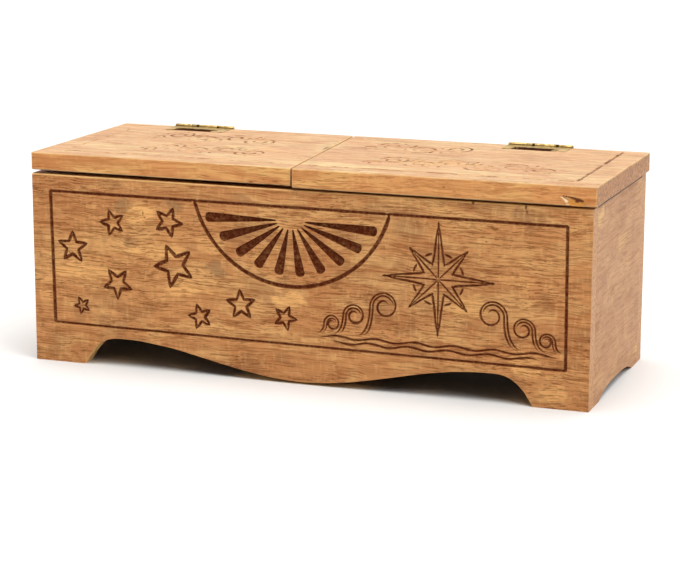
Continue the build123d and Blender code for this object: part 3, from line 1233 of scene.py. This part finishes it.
@dataclass(frozen=True)
class Studio:
    """White floor, soft light from behind on the right, and the camera of the photograph."""

    target: tuple[float, float, float] = (-0.40, -0.15, 42.98)
    azimuth: float = 20.22
    elevation: float = 12.38
    roll: float = 0.12
    distance: float = 1280.4
    focal_pixels: float = 2204.0
    image_width: int = 680
    glow: tuple[float, float] = (0.02, 0.25)
    backdrop: float = 0.8
    suns: tuple[tuple[str, float, float, Triple], ...] = (
        ("overhead", 3.7, 60.0, (0.0, -0.05, 1.0)),
        ("right_key", 1.25, 36.0, (0.8, -0.35, 0.8)),
    )

    def build(self) -> None:
        """Sets up the camera, the floor and the lights."""
        self.camera()
        self.floor()
        self.lights()

    def camera(self) -> None:
        """Places the camera as the photograph's perspective asks."""
        az, el, lean = (math.radians(a) for a in (self.azimuth, self.elevation, self.roll))
        back = Vector((math.sin(az) * math.cos(el), -math.cos(az) * math.cos(el), math.sin(el)))
        right = Vector((math.cos(az), math.sin(az), 0.0))
        up = back.cross(right)
        data = bpy.data.cameras.new("photo_camera")
        data.sensor_width = 36.0
        data.lens = self.focal_pixels * data.sensor_width / self.image_width
        data.clip_start, data.clip_end = 0.05, 60.0
        camera = placed("photo_camera", data)
        camera.location = (Vector(self.target) + back * self.distance) * MM
        leaned_right = right * math.cos(lean) + up * math.sin(lean)
        leaned_up = up * math.cos(lean) - right * math.sin(lean)
        camera.rotation_euler = Matrix((leaned_right, leaned_up, back)).transposed().to_euler()
        bpy.context.scene.camera = camera

    def floor(self) -> None:
        """A wide matt white floor."""
        mesh = bmesh.new()
        bmesh.ops.create_grid(mesh, x_segments=1, y_segments=1, size=9.0)
        floor = placed("studio_floor", mesh)
        # Matt wall paint on a board: no gloss, so that only the shadow lies on it.
        material, tree = new_material("matt_white_paint")
        give(tree, tree.nodes["Principled BSDF"], {
            "Base Color": "#DAD9D7", "Roughness": 0.9, "Specular IOR Level": 0.1,
        })
        floor.data.materials.append(material)

    def lights(self) -> None:
        """A broad light overhead, a key from the right, and a surround that is brightest behind."""
        scene = bpy.context.scene
        scene.world = bpy.data.worlds.new("studio_surround")
        scene.world.use_nodes = True
        tree = scene.world.node_tree
        way = add_node(tree, "ShaderNodeTexCoord").outputs["Generated"]
        parts = add_node(tree, "ShaderNodeSeparateXYZ", {0: way}).outputs
        strength = add_node(tree, "ShaderNodeLightPath").outputs["Is Camera Ray"]
        for part, none, full, low, high in ((2, 0.15, 0.9, *self.glow), (1, 0.1, 0.8, 0.0, self.backdrop)):
            share = add_node(tree, "ShaderNodeMapRange", {
                "From Min": none, "From Max": full, "To Min": low, "To Max": high, "Value": parts[part],
            })
            strength = add_node(tree, "ShaderNodeMath", {"operation": "MAXIMUM", 0: strength, 1: share})
        give(tree, tree.nodes["Background"], {"Color": "#FFFFFF", "Strength": strength})
        for name, energy, softness, place in self.suns:
            data = bpy.data.lights.new(name, "SUN")
            data.energy, data.angle = energy, math.radians(softness)
            placed(name, data).rotation_euler = Vector(place).to_track_quat("Z", "Y").to_euler()
        scene.view_settings.view_transform = "Standard"


@dataclass
class Case:
    """The walls, floor and divider of the chest."""

    honey: str = "#FCC078"
    ash: str = "#A47A52"
    front_figure: tuple[tuple[float, float, float, float, str, float], ...] = (
        (68.0, 91.0, 11.0, 9.0, "honey", 0.75), (76.0, 70.0, 24.0, 6.0, "honey", 0.75),
        (95.0, 50.0, 17.0, 5.5, "honey", 0.75), (30.0, 55.0, 26.0, 6.5, "honey", 0.7),
        (159.0, 47.0, 12.0, 5.5, "honey", 0.85), (52.0, 81.0, 8.0, 5.0, "honey", 0.5),
        (251.0, 105.5, 12.0, 3.5, "honey", 0.35), (262.0, 52.0, 15.0, 7.0, "honey", 0.8),
        (289.0, 68.0, 14.0, 5.0, "honey", 0.35), (296.0, 24.0, 12.0, 7.0, "honey", 0.6),
        (310.0, 8.0, 10.0, 6.0, "honey", 0.5), (110.0, 76.0, 8.0, 8.0, "honey", 0.3),
        (163.0, 84.0, 10.0, 6.0, "honey", 0.4), (8.0, 40.0, 5.0, 14.0, "honey", 0.4),
        (57.0, 93.0, 5.0, 6.5, "ash", 0.8), (90.0, 96.0, 6.0, 5.0, "ash", 0.8),
        (61.0, 72.0, 5.0, 5.0, "ash", 0.85), (114.0, 62.0, 11.0, 5.0, "ash", 0.85),
        (128.0, 82.0, 9.0, 9.0, "ash", 0.4), (196.0, 88.0, 12.0, 8.0, "ash", 0.4),
        (228.0, 92.0, 13.0, 8.0, "ash", 0.5), (291.0, 105.0, 9.0, 4.0, "ash", 0.45),
        (14.0, 12.0, 10.0, 7.0, "ash", 0.25), (128.0, 104.0, 9.0, 5.0, "ash", 0.35),
        (243.0, 80.0, 14.0, 8.0, "ash", 0.3), (236.0, 60.0, 66.0, 34.0, "ash", 0.16),
        (66.0, 66.0, 60.0, 36.0, "honey", 0.16),
    )
    end_figure: tuple[tuple[float, float, float, float, float], ...] = (
        (18.0, 103.0, 12.0, 5.0, 0.7), (8.0, 16.0, 9.0, 7.0, 0.6), (114.0, 8.0, 12.0, 6.0, 0.6),
        (70.0, 78.0, 16.0, 7.0, 0.3), (118.0, 103.0, 10.0, 6.0, 0.5),
    )

    def build(self) -> None:
        """Makes every board of the case."""
        # Mango wood, planed along the grain and waxed: a half matt orange brown with honey and ash
        # patches, dark wavy lines and short pores; pale arrises, partly wear and partly a painted
        # highlight, and a painted shade on faces that look down.
        brown = dict(
            ground="#C88853", warm="#D6975E", pale="#F6C580", line="#8E4E24", pore="#6A3614",
            smudge="#A4744A", scorch="#561E02", patch_share=0.4, smudge_share=0.45,
            patch_mm=(36.0, 15.0), line_mm=(24.0, 0.95), pore_mm=(6.0, 0.65), pore_share=0.6,
            line_share=0.58, streak_share=0.3, fleck_share=0.3, arris_gain=0.9,
            end_tones=("#A87850", "#C08E64", "#D0A074"),
        )
        low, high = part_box("front_panel")
        plane = FacePlane(low, Vector((1, 0, 0)), Vector((0, 0, 1)), Vector((0, -1, 0)))
        finish = WoodFinish(
            "waxed_mango_wood_front", **brown, grain=Grain.ALONG_X, seed=2.0, figure_and_sheen=self.patches(low / MM),
            knots_and_painted_light=self.nicks(low.y / MM),
        )
        CarvedBoard(
            "front_panel", finish, Body.CASE, "case_wood", spared=self.holes("front_brads"),
            handled=(high.z / MM, 1.0), plane=plane, plan=FrontCarving().plan(),
        ).build()
        brown["patch_share"], brown["patch_mm"] = 0.5, (64.0, 17.0)
        finish = WoodFinish("waxed_mango_wood_back", **brown, grain=Grain.ALONG_X, seed=31.0)
        WornBoard("back_panel", finish, Body.CASE, "case_wood", spared=self.holes("back_brads")).build()
        self.build_ends()
        # Pine, sanded and left bare inside: straw yellow, even and matt.
        bare = dict(
            ground="#C09A66", warm="#CDA877", pale="#DDBE92", line="#9A7444", pore="#7A5A34",
            smudge="#AC9068", pore_share=0.4,
        )
        for node, grain, seed, arris in (
            ("bottom_board", Grain.ALONG_X, 61.0, 0.2), ("centre_divider", Grain.ALONG_Y, 67.0, 0.3),
        ):
            finish = WoodFinish(f"sanded_pine_{node}", **bare, grain=grain, seed=seed)
            WornBoard(node, finish, Body.CASE, "inner_wood", arris=arris).build()

    def build_ends(self) -> None:
        """Makes both end panels."""
        # The same wood from near the bark, sanded: pinker and paler, with soft lines and no gloss.
        pink = dict(
            ground="#BA8860", warm="#C5956C", pale="#DCAE76", line="#94643E", pore="#7A4E2C",
            smudge="#A67A56", patch_mm=(30.0, 22.0), smudge_mm=(20.0, 18.0), patch_share=0.3,
            smudge_share=0.35, line_share=0.4, pore_share=0.35, streak_share=0.25,
            end_tones=("#94683F", "#AA7E55", "#BA9068"), gleam=0.08,
        )
        for side, seed in (("left", 47.0), ("right", 53.0)):
            node = f"{side}_end_panel"
            near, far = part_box(node)
            patches = tuple(
                Blot((near.x / MM + 5.0, -62.5 + y, z), (30.0, deep, tall), "#E8BC78", share, 0.35)
                for y, z, deep, tall, share in self.end_figure
            )
            outer = (far if side == "right" else near).x / MM
            # A thin dark band along the top of the outer face, under the lid's gap: painted shadow line.
            gap_shadow_line = (Blot((outer, 0.0, far.z / MM), (1.3, 400.0, 0.9), "#4A2208", 0.8, 0.6),)
            finish = WoodFinish(
                f"waxed_mango_wood_{side}_end", **pink, grain=Grain.ALONG_Y, seed=seed, figure_and_sheen=patches,
                knots_and_painted_light=gap_shadow_line, slant=4.0,
            )
            WornBoard(node, finish, Body.CASE, "end_wood").build()

    def patches(self, corner: Vector) -> tuple[Blot, ...]:
        """The patches of the front, placed from its lower left corner in mm."""
        return tuple(
            Blot(
                (corner.x + x, corner.y, corner.z + z), (wide, 30.0, tall), getattr(self, tone), share,
                0.6 if tone == "honey" else 0.4,
            )
            for x, z, wide, tall, tone, share in self.front_figure
        )

    def nicks(self, face_y: float) -> tuple[Blot, ...]:
        """Small dark dents in the front."""
        return tuple(
            Blot((x, face_y, z), (wide, 1.6, tall), tone, share)
            for x, z, wide, tall, tone, share in (
                (98.1, 109.4, 1.2, 1.5, "#6A3A14", 0.9), (127.4, 108.9, 0.9, 1.9, "#5A2E10", 0.9),
                (128.0, 106.4, 0.7, 1.6, "#6A3A14", 0.8), (-96.2, 91.0, 0.8, 1.6, "#8A4A1E", 0.7),
                (-95.2, 88.6, 1.0, 0.8, "#8A4A1E", 0.7),
            )
        )

    def holes(self, node: str) -> tuple[Vector, ...]:
        """The middles of the brad heads in mm."""
        return tuple(place / MM for place, _ in heads(node))


LIDS = (("left", Body.LEFT_LID), ("right", Body.RIGHT_LID))


@dataclass
class Lids:
    """Both lids, each of two planks glued edge to edge."""

    # The same wood, handled for years: pale on top with rust and rose patches and cream streaks,
    # those near the front edge a painted sheen. The upright sides are made a deeper amber than the
    # top, so that the paler top stands for a painted sheen.
    colours: dict = field(default_factory=lambda: dict(
        ground="#CC9C6E", warm="#D0A576", pale="#D9BF8A", line="#AA7246", pore="#6C3E1E",
        smudge="#B9865C", end_tones=("#7A4A20", "#A66C34", "#C68A4A"), edge_gain=(1.28, 1.03, 0.74),
        shades_flats=False, char_full=0.18, patch_share=0.6, smudge_share=0.55, line_share=0.64,
        streak_share=0.55, pore_share=0.5, fleck_share=0.36,
        patch_mm=(60.0, 16.0), smudge_mm=(34.0, 9.0), line_mm=(30.0, 0.9), pore_mm=(7.0, 0.55),
        roughness=0.45, gleam=0.22, scorch="#5A2C0E", rubbed_out=0.93, arris_gain=0.3,
    ))
    butter: str = "#DCC48C"
    rust: str = "#D09A5E"
    rose: str = "#AC7C56"
    # Cream streaks near the front edge are a painted sheen; the rest of the table is colour in the grain.
    top_figure_and_sheen: tuple[tuple[float, float, float, float, str, float], ...] = (
        (180.0, 20.0, 60.0, 9.0, "butter", 0.75), (152.0, 80.0, 9.0, 30.0, "butter", 0.6),
        (40.0, 36.0, 26.0, 8.0, "butter", 0.6), (262.0, 22.0, 40.0, 7.0, "butter", 0.7),
        (105.0, 66.0, 18.0, 9.0, "butter", 0.4), (22.0, 20.0, 18.0, 6.0, "rose", 0.3),
        (226.0, 46.0, 40.0, 11.0, "rust", 0.6), (124.0, 57.0, 13.0, 8.0, "rust", 0.5),
        (60.0, 26.0, 14.0, 6.0, "rust", 0.5), (120.0, 96.0, 20.0, 12.0, "rust", 0.35),
        (100.0, 53.0, 12.0, 6.0, "rose", 0.7), (44.0, 92.0, 22.0, 7.0, "rose", 0.55),
        (196.0, 98.0, 22.0, 7.0, "rose", 0.5), (228.0, 70.0, 16.0, 5.0, "rose", 0.65),
        (276.0, 86.0, 26.0, 8.0, "rose", 0.6), (286.0, 41.0, 12.0, 5.0, "rose", 0.5),
        (12.0, 70.0, 10.0, 20.0, "rose", 0.4), (320.0, 72.0, 8.0, 9.0, "rose", 0.5),
    )
    rim_margin: float = 3.0
    seam_margin: float = 9.0
    glue_margin: float = 0.8
    chips: tuple[Chip, ...] = (
        Chip((154.6, -64.1, 113.9), (6.4, 0.85, 2.2), 14.0),
        Chip((156.4, -64.0, 111.9), (5.0, 0.8, 1.4), 4.0),
    )

    def build(self) -> None:
        """Makes the four planks with their faint carving."""
        left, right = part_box("left_lid_front_plank"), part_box("right_lid_front_plank")
        corner = Vector((left[0].x, right[0].y, 0.0))
        joint = right[1].y
        for side, body in LIDS:
            for row, seed in (("front", 3.0), ("rear", 17.0)):
                node = f"{side}_lid_{row}_plank"
                low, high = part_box(node)
                plane = FacePlane(
                    Vector((corner.x, corner.y, high.z)), Vector((1, 0, 0)), Vector((0, 1, 0)),
                    Vector((0, 0, 1)),
                )
                near, far = plane.flat(low), plane.flat(high)
                finish = WoodFinish(
                    f"waxed_mango_wood_{side}_lid_{row}", **self.colours, grain=Grain.ALONG_X,
                    seed=seed + (40.0 if side == "right" else 0.0), glue_line_y=joint / MM,
                    figure_and_sheen=self.patches(corner / MM, high.z / MM), knots_and_painted_light=self.marks(side, row),
                )
                CarvedBoard(
                    node, finish, body, "lid_wood", arris=0.5, wobble=0.22, joint_y=joint, plane=plane,
                    chips=self.chips if (side, row) == ("right", "front") else (),
                    handled=(low.z / MM, 0.8) if row == "front" else None,
                    sawn_side=1 if side == "left" else -1,
                    plan=LidCarving().plan(
                        near[0] + (self.seam_margin if side == "right" else self.rim_margin),
                        far[0] - (self.seam_margin if side == "left" else self.rim_margin),
                        near[1] + (self.rim_margin if row == "front" else self.glue_margin),
                        far[1] - (self.glue_margin if row == "front" else self.rim_margin),
                    ),
                ).build()

    def patches(self, corner: Vector, top: float) -> tuple[Blot, ...]:
        """The patches of the tops, placed from the lids' front left corner in mm; the cream streaks near the
        front edge are a painted sheen.
        """
        return tuple(
            Blot((corner.x + x, corner.y + y, top), (wide, deep, 60.0), getattr(self, tone), share, 0.3)
            for x, y, wide, deep, tone, share in self.top_figure_and_sheen
        )

    def marks(self, side: str, row: str) -> tuple[Blot, ...]:
        """Small knot marks, and the tones of the torn splinter with its painted highlight and painted shade.
        """
        if (side, row) == ("right", "front"):
            # The lower wall of the splinter's hollow, lit from above: painted highlight.
            flake_highlight = tuple(
                Blot(
                    (146.7 + 2.9 * t, -63.6, 115.8 - 2.2 * t ** 1.3), (0.45 + 0.75 * t, 2.2, 0.5 + 0.45 * t),
                    "#FFE6BA", 0.9, 0.3,
                )
                for t in (0.0, 0.2, 0.4, 0.6, 0.8, 1.0)
            ) + (Blot((150.3, -63.6, 112.2), (1.6, 2.2, 0.55), "#F6D2AA", 0.8),)
            # The overhung upper wall of the hollow: painted shade.
            torn = tuple(
                Blot((x, -63.4, z), (2.1 * r, 2.6, 1.3 * r), "#682A02", 0.95, 0.25)
                for x, z, r in (
                    (148.0, 116.6, 0.4), (149.4, 116.4, 0.5), (150.9, 116.1, 0.6), (152.4, 115.8, 0.75),
                    (153.9, 115.4, 0.9), (155.4, 115.0, 1.05), (156.8, 114.6, 1.05), (158.0, 114.3, 0.8),
                    (155.2, 113.9, 0.9),
                )
            )
            bared = (
                Blot((155.0, -63.6, 113.4), (6.6, 2.6, 2.8), "#D8923E", 0.9, 0.6),
                Blot((161.2, -63.6, 115.0), (2.6, 2.4, 1.5), "#B8661E", 0.4, 0.2),
            )
            speck = (
                Blot((82.0, -63.8, 117.0), (0.9, 1.5, 0.9), "#8A5426", 0.8),
                Blot((88.0, -63.8, 115.0), (1.3, 1.5, 0.5), "#9A602E", 0.6),
            )
            return bared + torn + flake_highlight + speck
        if (side, row) == ("left", "front"):
            return (
                Blot((-30.0, -63.6, 113.0), (2.4, 2.0, 0.7), "#7A4416", 0.8),
                Blot((-19.0, -63.6, 112.4), (4.2, 2.0, 0.6), "#7A4416", 0.8),
                Blot((-15.5, -63.6, 114.2), (3.2, 2.0, 0.6), "#8A5222", 0.7),
                Blot((-11.5, -63.6, 112.2), (3.0, 2.0, 0.7), "#5E3210", 0.8),
                Blot((-13.0, 8.0, 122.0), (1.5, 3.4, 2.0), "#6A3A14", 0.9),
            )
        if (side, row) == ("left", "rear"):
            return (Blot((-13.4, 12.2, 122.0), (1.4, 4.0, 2.0), "#6A3A14", 0.9),)
        return ()


@dataclass
class Hinges:
    """Both brass butt hinges with their pins."""

    knuckle_gap_shade: dict = field(default_factory=lambda: {
        "left": ((-116.6, 123.2, 1.3), (-103.2, 122.6, 1.0)),
        "right": ((97.2, 123.0, 1.3), (111.5, 123.3, 1.4)),
    })

    def build(self) -> None:
        """Makes the rounded leaves and pins."""
        for side, body in LIDS:
            low, high = (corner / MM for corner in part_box(f"{side}_hinge_lid_leaf"))
            # Pale blots at the leaf's corners are partly wear and partly a painted highlight; the thin dark
            # blots along its front edge are a painted shadow line.
            corners = tuple(
                Blot((x, low.y + y, high.z), (wide, deep, 30.0), tone, share, core)
                for x, y, wide, deep, tone, share, core in (
                    (high.x - 3.5, 4.0, 6.5, 7.0, "#E8C48C", 0.85, 0.5),
                    (low.x + 2.0, 4.0, 5.0, 6.0, "#EAC47A", 0.8, 0.4),
                    (low.x + 3.0, -0.3, 7.0, 0.7, "#4A2A08", 0.9, 0.5),
                    (high.x - 1.0, -0.3, 4.0, 0.7, "#5A3408", 0.9, 0.5),
                )
            )
            # Dark dots where the barrel's knuckles meet: painted shade in the gaps.
            knuckle_gap_shade = tuple(
                Blot((x, 61.4, z), (reach, 4.0, reach), "#241000", 0.95, 0.4)
                for x, z, reach in self.knuckle_gap_shade[side]
            )
            # Rolled brass, lacquered once: gold on the barrel, pale corners that are partly wear and partly a
            # painted highlight, painted shade along the leaf's front edge and in the knuckle gaps, and a
            # painted dark reflection across the middle of the leaf.
            brass = MetalFinish(
                f"worn_polished_brass_{side}", "#C2A468", "#301200", 0.6, 0.42,
                painted_reflection_middle=((low.x + high.x) / 2 - 1.6, low.y + 3.4), blots=corners + knuckle_gap_shade,
            ).build()
            for part, rider, rounding in (
                ("lid_leaf", body, 0.12), ("body_leaf", Body.CASE, 0.12), ("pin", Body.CASE, 0.1),
            ):
                Casting(f"{side}_hinge_{part}", rider, "brass", rounding).build(brass)


@dataclass
class Fasteners:
    """Screws or brads of one body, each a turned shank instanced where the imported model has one.

    The same Geometry Nodes tree makes both: a cylinder whose radius follows its length, with a
    thread and a driver's slot where there is one.
    """

    name: str
    nodes: tuple[str, ...]
    body: Body
    slot: str
    head_radius: float
    head_depth: float
    head_taper: float
    shank_radius: float
    length: float
    point: float
    thread_depth: float = 0.0
    thread_pitch: float = 1.1
    slot_width: float = 0.0
    slot_depth: float = 0.0
    seed: int = 7

    def tree(self) -> bpy.types.NodeTree:
        """The Geometry Nodes tree, with its sizes as named inputs."""
        tree = bpy.data.node_groups.new(self.name + "_maker", "GeometryNodeTree")
        inputs = {"Geometry": "Geometry"} | dict.fromkeys(self.sizes(), "Float")
        for label, kind in (inputs | {"Seed": "Int", "Finish": "Material"}).items():
            tree.interface.new_socket(label, in_out="INPUT", socket_type="NodeSocket" + kind)
        tree.interface.new_socket("Geometry", in_out="OUTPUT", socket_type="NodeSocketGeometry")
        add = partial(add_node, tree)
        given = add("NodeGroupInput").outputs
        rod = add("GeometryNodeMeshCylinder", {
            "Vertices": 32, "Side Segments": 64, "Radius": 1.0, "Depth": given["Length"],
        })
        x, y, z = add("ShaderNodeSeparateXYZ", {0: add("GeometryNodeInputPosition")}).outputs
        value = {name: given[name] for name in self.sizes()} | {"x": x, "y": y, "z": z}
        for name, operation, first, second in self.steps():
            value[name] = add("ShaderNodeMath", {
                "operation": operation, 0: value.get(first, first), 1: value.get(second, second),
            })
        head = add("ShaderNodeMapRange", {
            "Value": value["down"], "From Min": value["shoulder"], "From Max": given["Head Depth"],
            "To Min": given["Head Radius"], "To Max": given["Shank Radius"],
        })
        body = add("ShaderNodeMath", {"operation": "SUBTRACT", 0: head, 1: value["thread"]})
        tip = add("ShaderNodeMapRange", {
            "Value": value["down"], "From Min": value["point start"], "From Max": given["Length"],
            "To Min": 1.0, "To Max": 0.12,
        })
        radius = add("ShaderNodeMath", {"operation": "MULTIPLY", 0: body, 1: tip})
        around = add("ShaderNodeCombineXYZ", {0: x, 1: y})
        turned = add("ShaderNodeVectorMath", {"operation": "SCALE", 0: around, "Scale": radius})
        sunk = add("ShaderNodeCombineXYZ", {2: value["up"]})
        moved = add("ShaderNodeVectorMath", {"operation": "ADD", 0: turned, 1: sunk})
        shank = add("GeometryNodeSetPosition", {"Geometry": rod, "Position": moved})
        if self.slot_depth > 0:
            size = add("ShaderNodeCombineXYZ", {
                0: value["slot length"], 1: given["Slot Width"], 2: value["slot cut"],
            })
            shank = add("GeometryNodeMeshBoolean", {
                "operation": "DIFFERENCE", "solver": "EXACT", 0: shank,
                1: add("GeometryNodeMeshCube", {"Size": size}),
            })
        outward = add("GeometryNodeInputNamedAttribute", {"data_type": "FLOAT_VECTOR", "Name": "outward"})
        upright = add("FunctionNodeAlignRotationToVector", {"axis": "Z", "Vector": outward})
        spin = add("FunctionNodeRandomValue", {
            "data_type": "FLOAT", 2: 0.0, 3: math.pi, "Seed": given["Seed"],
        }).outputs[1]
        spun = add("FunctionNodeEulerToRotation", {0: add("ShaderNodeCombineXYZ", {2: spin})})
        facing_out = add("FunctionNodeRotateRotation", {
            "rotation_space": "LOCAL", "Rotation": upright, "Rotate By": spun,
        })
        copies = add("GeometryNodeInstanceOnPoints", {
            "Points": given["Geometry"], "Instance": shank, "Rotation": facing_out,
        })
        real = add("GeometryNodeRealizeInstances", {0: copies})
        dressed = add("GeometryNodeSetMaterial", {"Geometry": real, "Material": given["Finish"]})
        add("NodeGroupOutput", {0: dressed})
        return tree

    def steps(self) -> tuple[tuple, ...]:
        """The sums that shape the rod: a name, the operation, and its two values by name or number."""
        return (
            ("middle", "MULTIPLY", "Length", 0.5),
            ("down", "SUBTRACT", "middle", "z"),
            ("up", "MULTIPLY", "down", -1.0),
            ("shoulder", "SUBTRACT", "Head Depth", "Head Taper"),
            ("point start", "SUBTRACT", "Length", "Point"),
            ("angle", "ARCTAN2", "y", "x"),
            ("turn", "DIVIDE", "angle", 2 * math.pi),
            ("pitches", "DIVIDE", "down", "Thread Pitch"),
            ("wound", "ADD", "pitches", "turn"),
            ("groove", "PINGPONG", "wound", 0.5),
            ("run-out", "ADD", "Head Depth", "Thread Pitch"),
            ("threaded", "GREATER_THAN", "down", "run-out"),
            ("profile", "MULTIPLY", "groove", "Thread Depth"),
            ("ridge", "MULTIPLY", "profile", 2.0),
            ("thread", "MULTIPLY", "ridge", "threaded"),
            ("slot length", "MULTIPLY", "Head Radius", 2.6),
            ("slot cut", "MULTIPLY", "Slot Depth", 2.0),
        )

    def sizes(self) -> dict[str, float]:
        """The tree's sizes in mm by the name of their input."""
        labels = (
            "Head Radius", "Head Depth", "Head Taper", "Shank Radius", "Length", "Point", "Thread Depth",
            "Thread Pitch", "Slot Width", "Slot Depth",
        )
        return {label: getattr(self, label.lower().replace(" ", "_")) for label in labels}

    def build(self, material: bpy.types.Material) -> None:
        """Makes all the fasteners of the body as one plain mesh."""
        found = [head for node in self.nodes for head in heads(node)]
        points = bpy.data.meshes.new(self.name + "_points")
        points.from_pydata([tuple(place) for place, _ in found], [], [])
        ways = points.attributes.new("outward", "FLOAT_VECTOR", "POINT")
        for index, (_, way) in enumerate(found):
            ways.data[index].vector = way
        piece = placed(self.name, points)
        change = piece.modifiers.new("turned_fasteners", "NODES")
        change.node_group = self.tree()
        values = {label: size * MM for label, size in self.sizes().items()}
        values |= {"Seed": self.seed, "Finish": material}
        for item in change.node_group.interface.items_tree:
            if item.in_out == "INPUT" and item.name in values:
                change[item.identifier] = values[item.name]
        applied(piece)
        piece.data.shade_smooth()
        piece.data.set_sharp_from_angle(angle=math.radians(35))
        hand_over(piece, self.body, self.slot, *self.nodes)


def fasten() -> None:
    """Makes the screws of each body and the brads."""
    # Turned brass gone brown in the air: dull heads that give the eye only a faint glint.
    screw = MetalFinish("aged_brass_screw", "#8E6A32", "#3C220C", 0.9, 0.5).build()
    # Wax filler pressed over a sunk brad: a matt dot a little darker than the wood.
    brad = MetalFinish("wood_filler_over_brad", "#B07A48", "#8A5830", 0.8, 0.65, metallic=0.0).build()
    for name, nodes, body, seed in (
        ("left_lid_slotted_screws", ("left_lid_screws",), Body.LEFT_LID, 3),
        ("right_lid_slotted_screws", ("right_lid_screws",), Body.RIGHT_LID, 5),
        ("case_slotted_screws", ("left_body_screws", "right_body_screws"), Body.CASE, 9),
    ):
        Fasteners(
            name, nodes, body, "screw_brass", head_radius=2.1, head_depth=1.3, head_taper=1.3,
            shank_radius=1.1, length=8.5, point=2.2, thread_depth=0.28, slot_width=0.7, slot_depth=0.6,
            seed=seed,
        ).build(screw)
    Fasteners(
        "case_filled_brads", ("front_brads", "back_brads"), Body.CASE, "brad_steel", head_radius=1.1,
        head_depth=0.8, head_taper=0.05, shank_radius=0.7, length=24.0, point=1.5,
    ).build(brad)


def main() -> None:
    """Builds the studio, then every sub-assembly."""
    logging.basicConfig(level=logging.INFO, format="%(message)s")
    for part in (Studio(), Case(), Lids(), Hinges()):
        part.build()
    fasten()


if __name__ == "__main__":
    main()
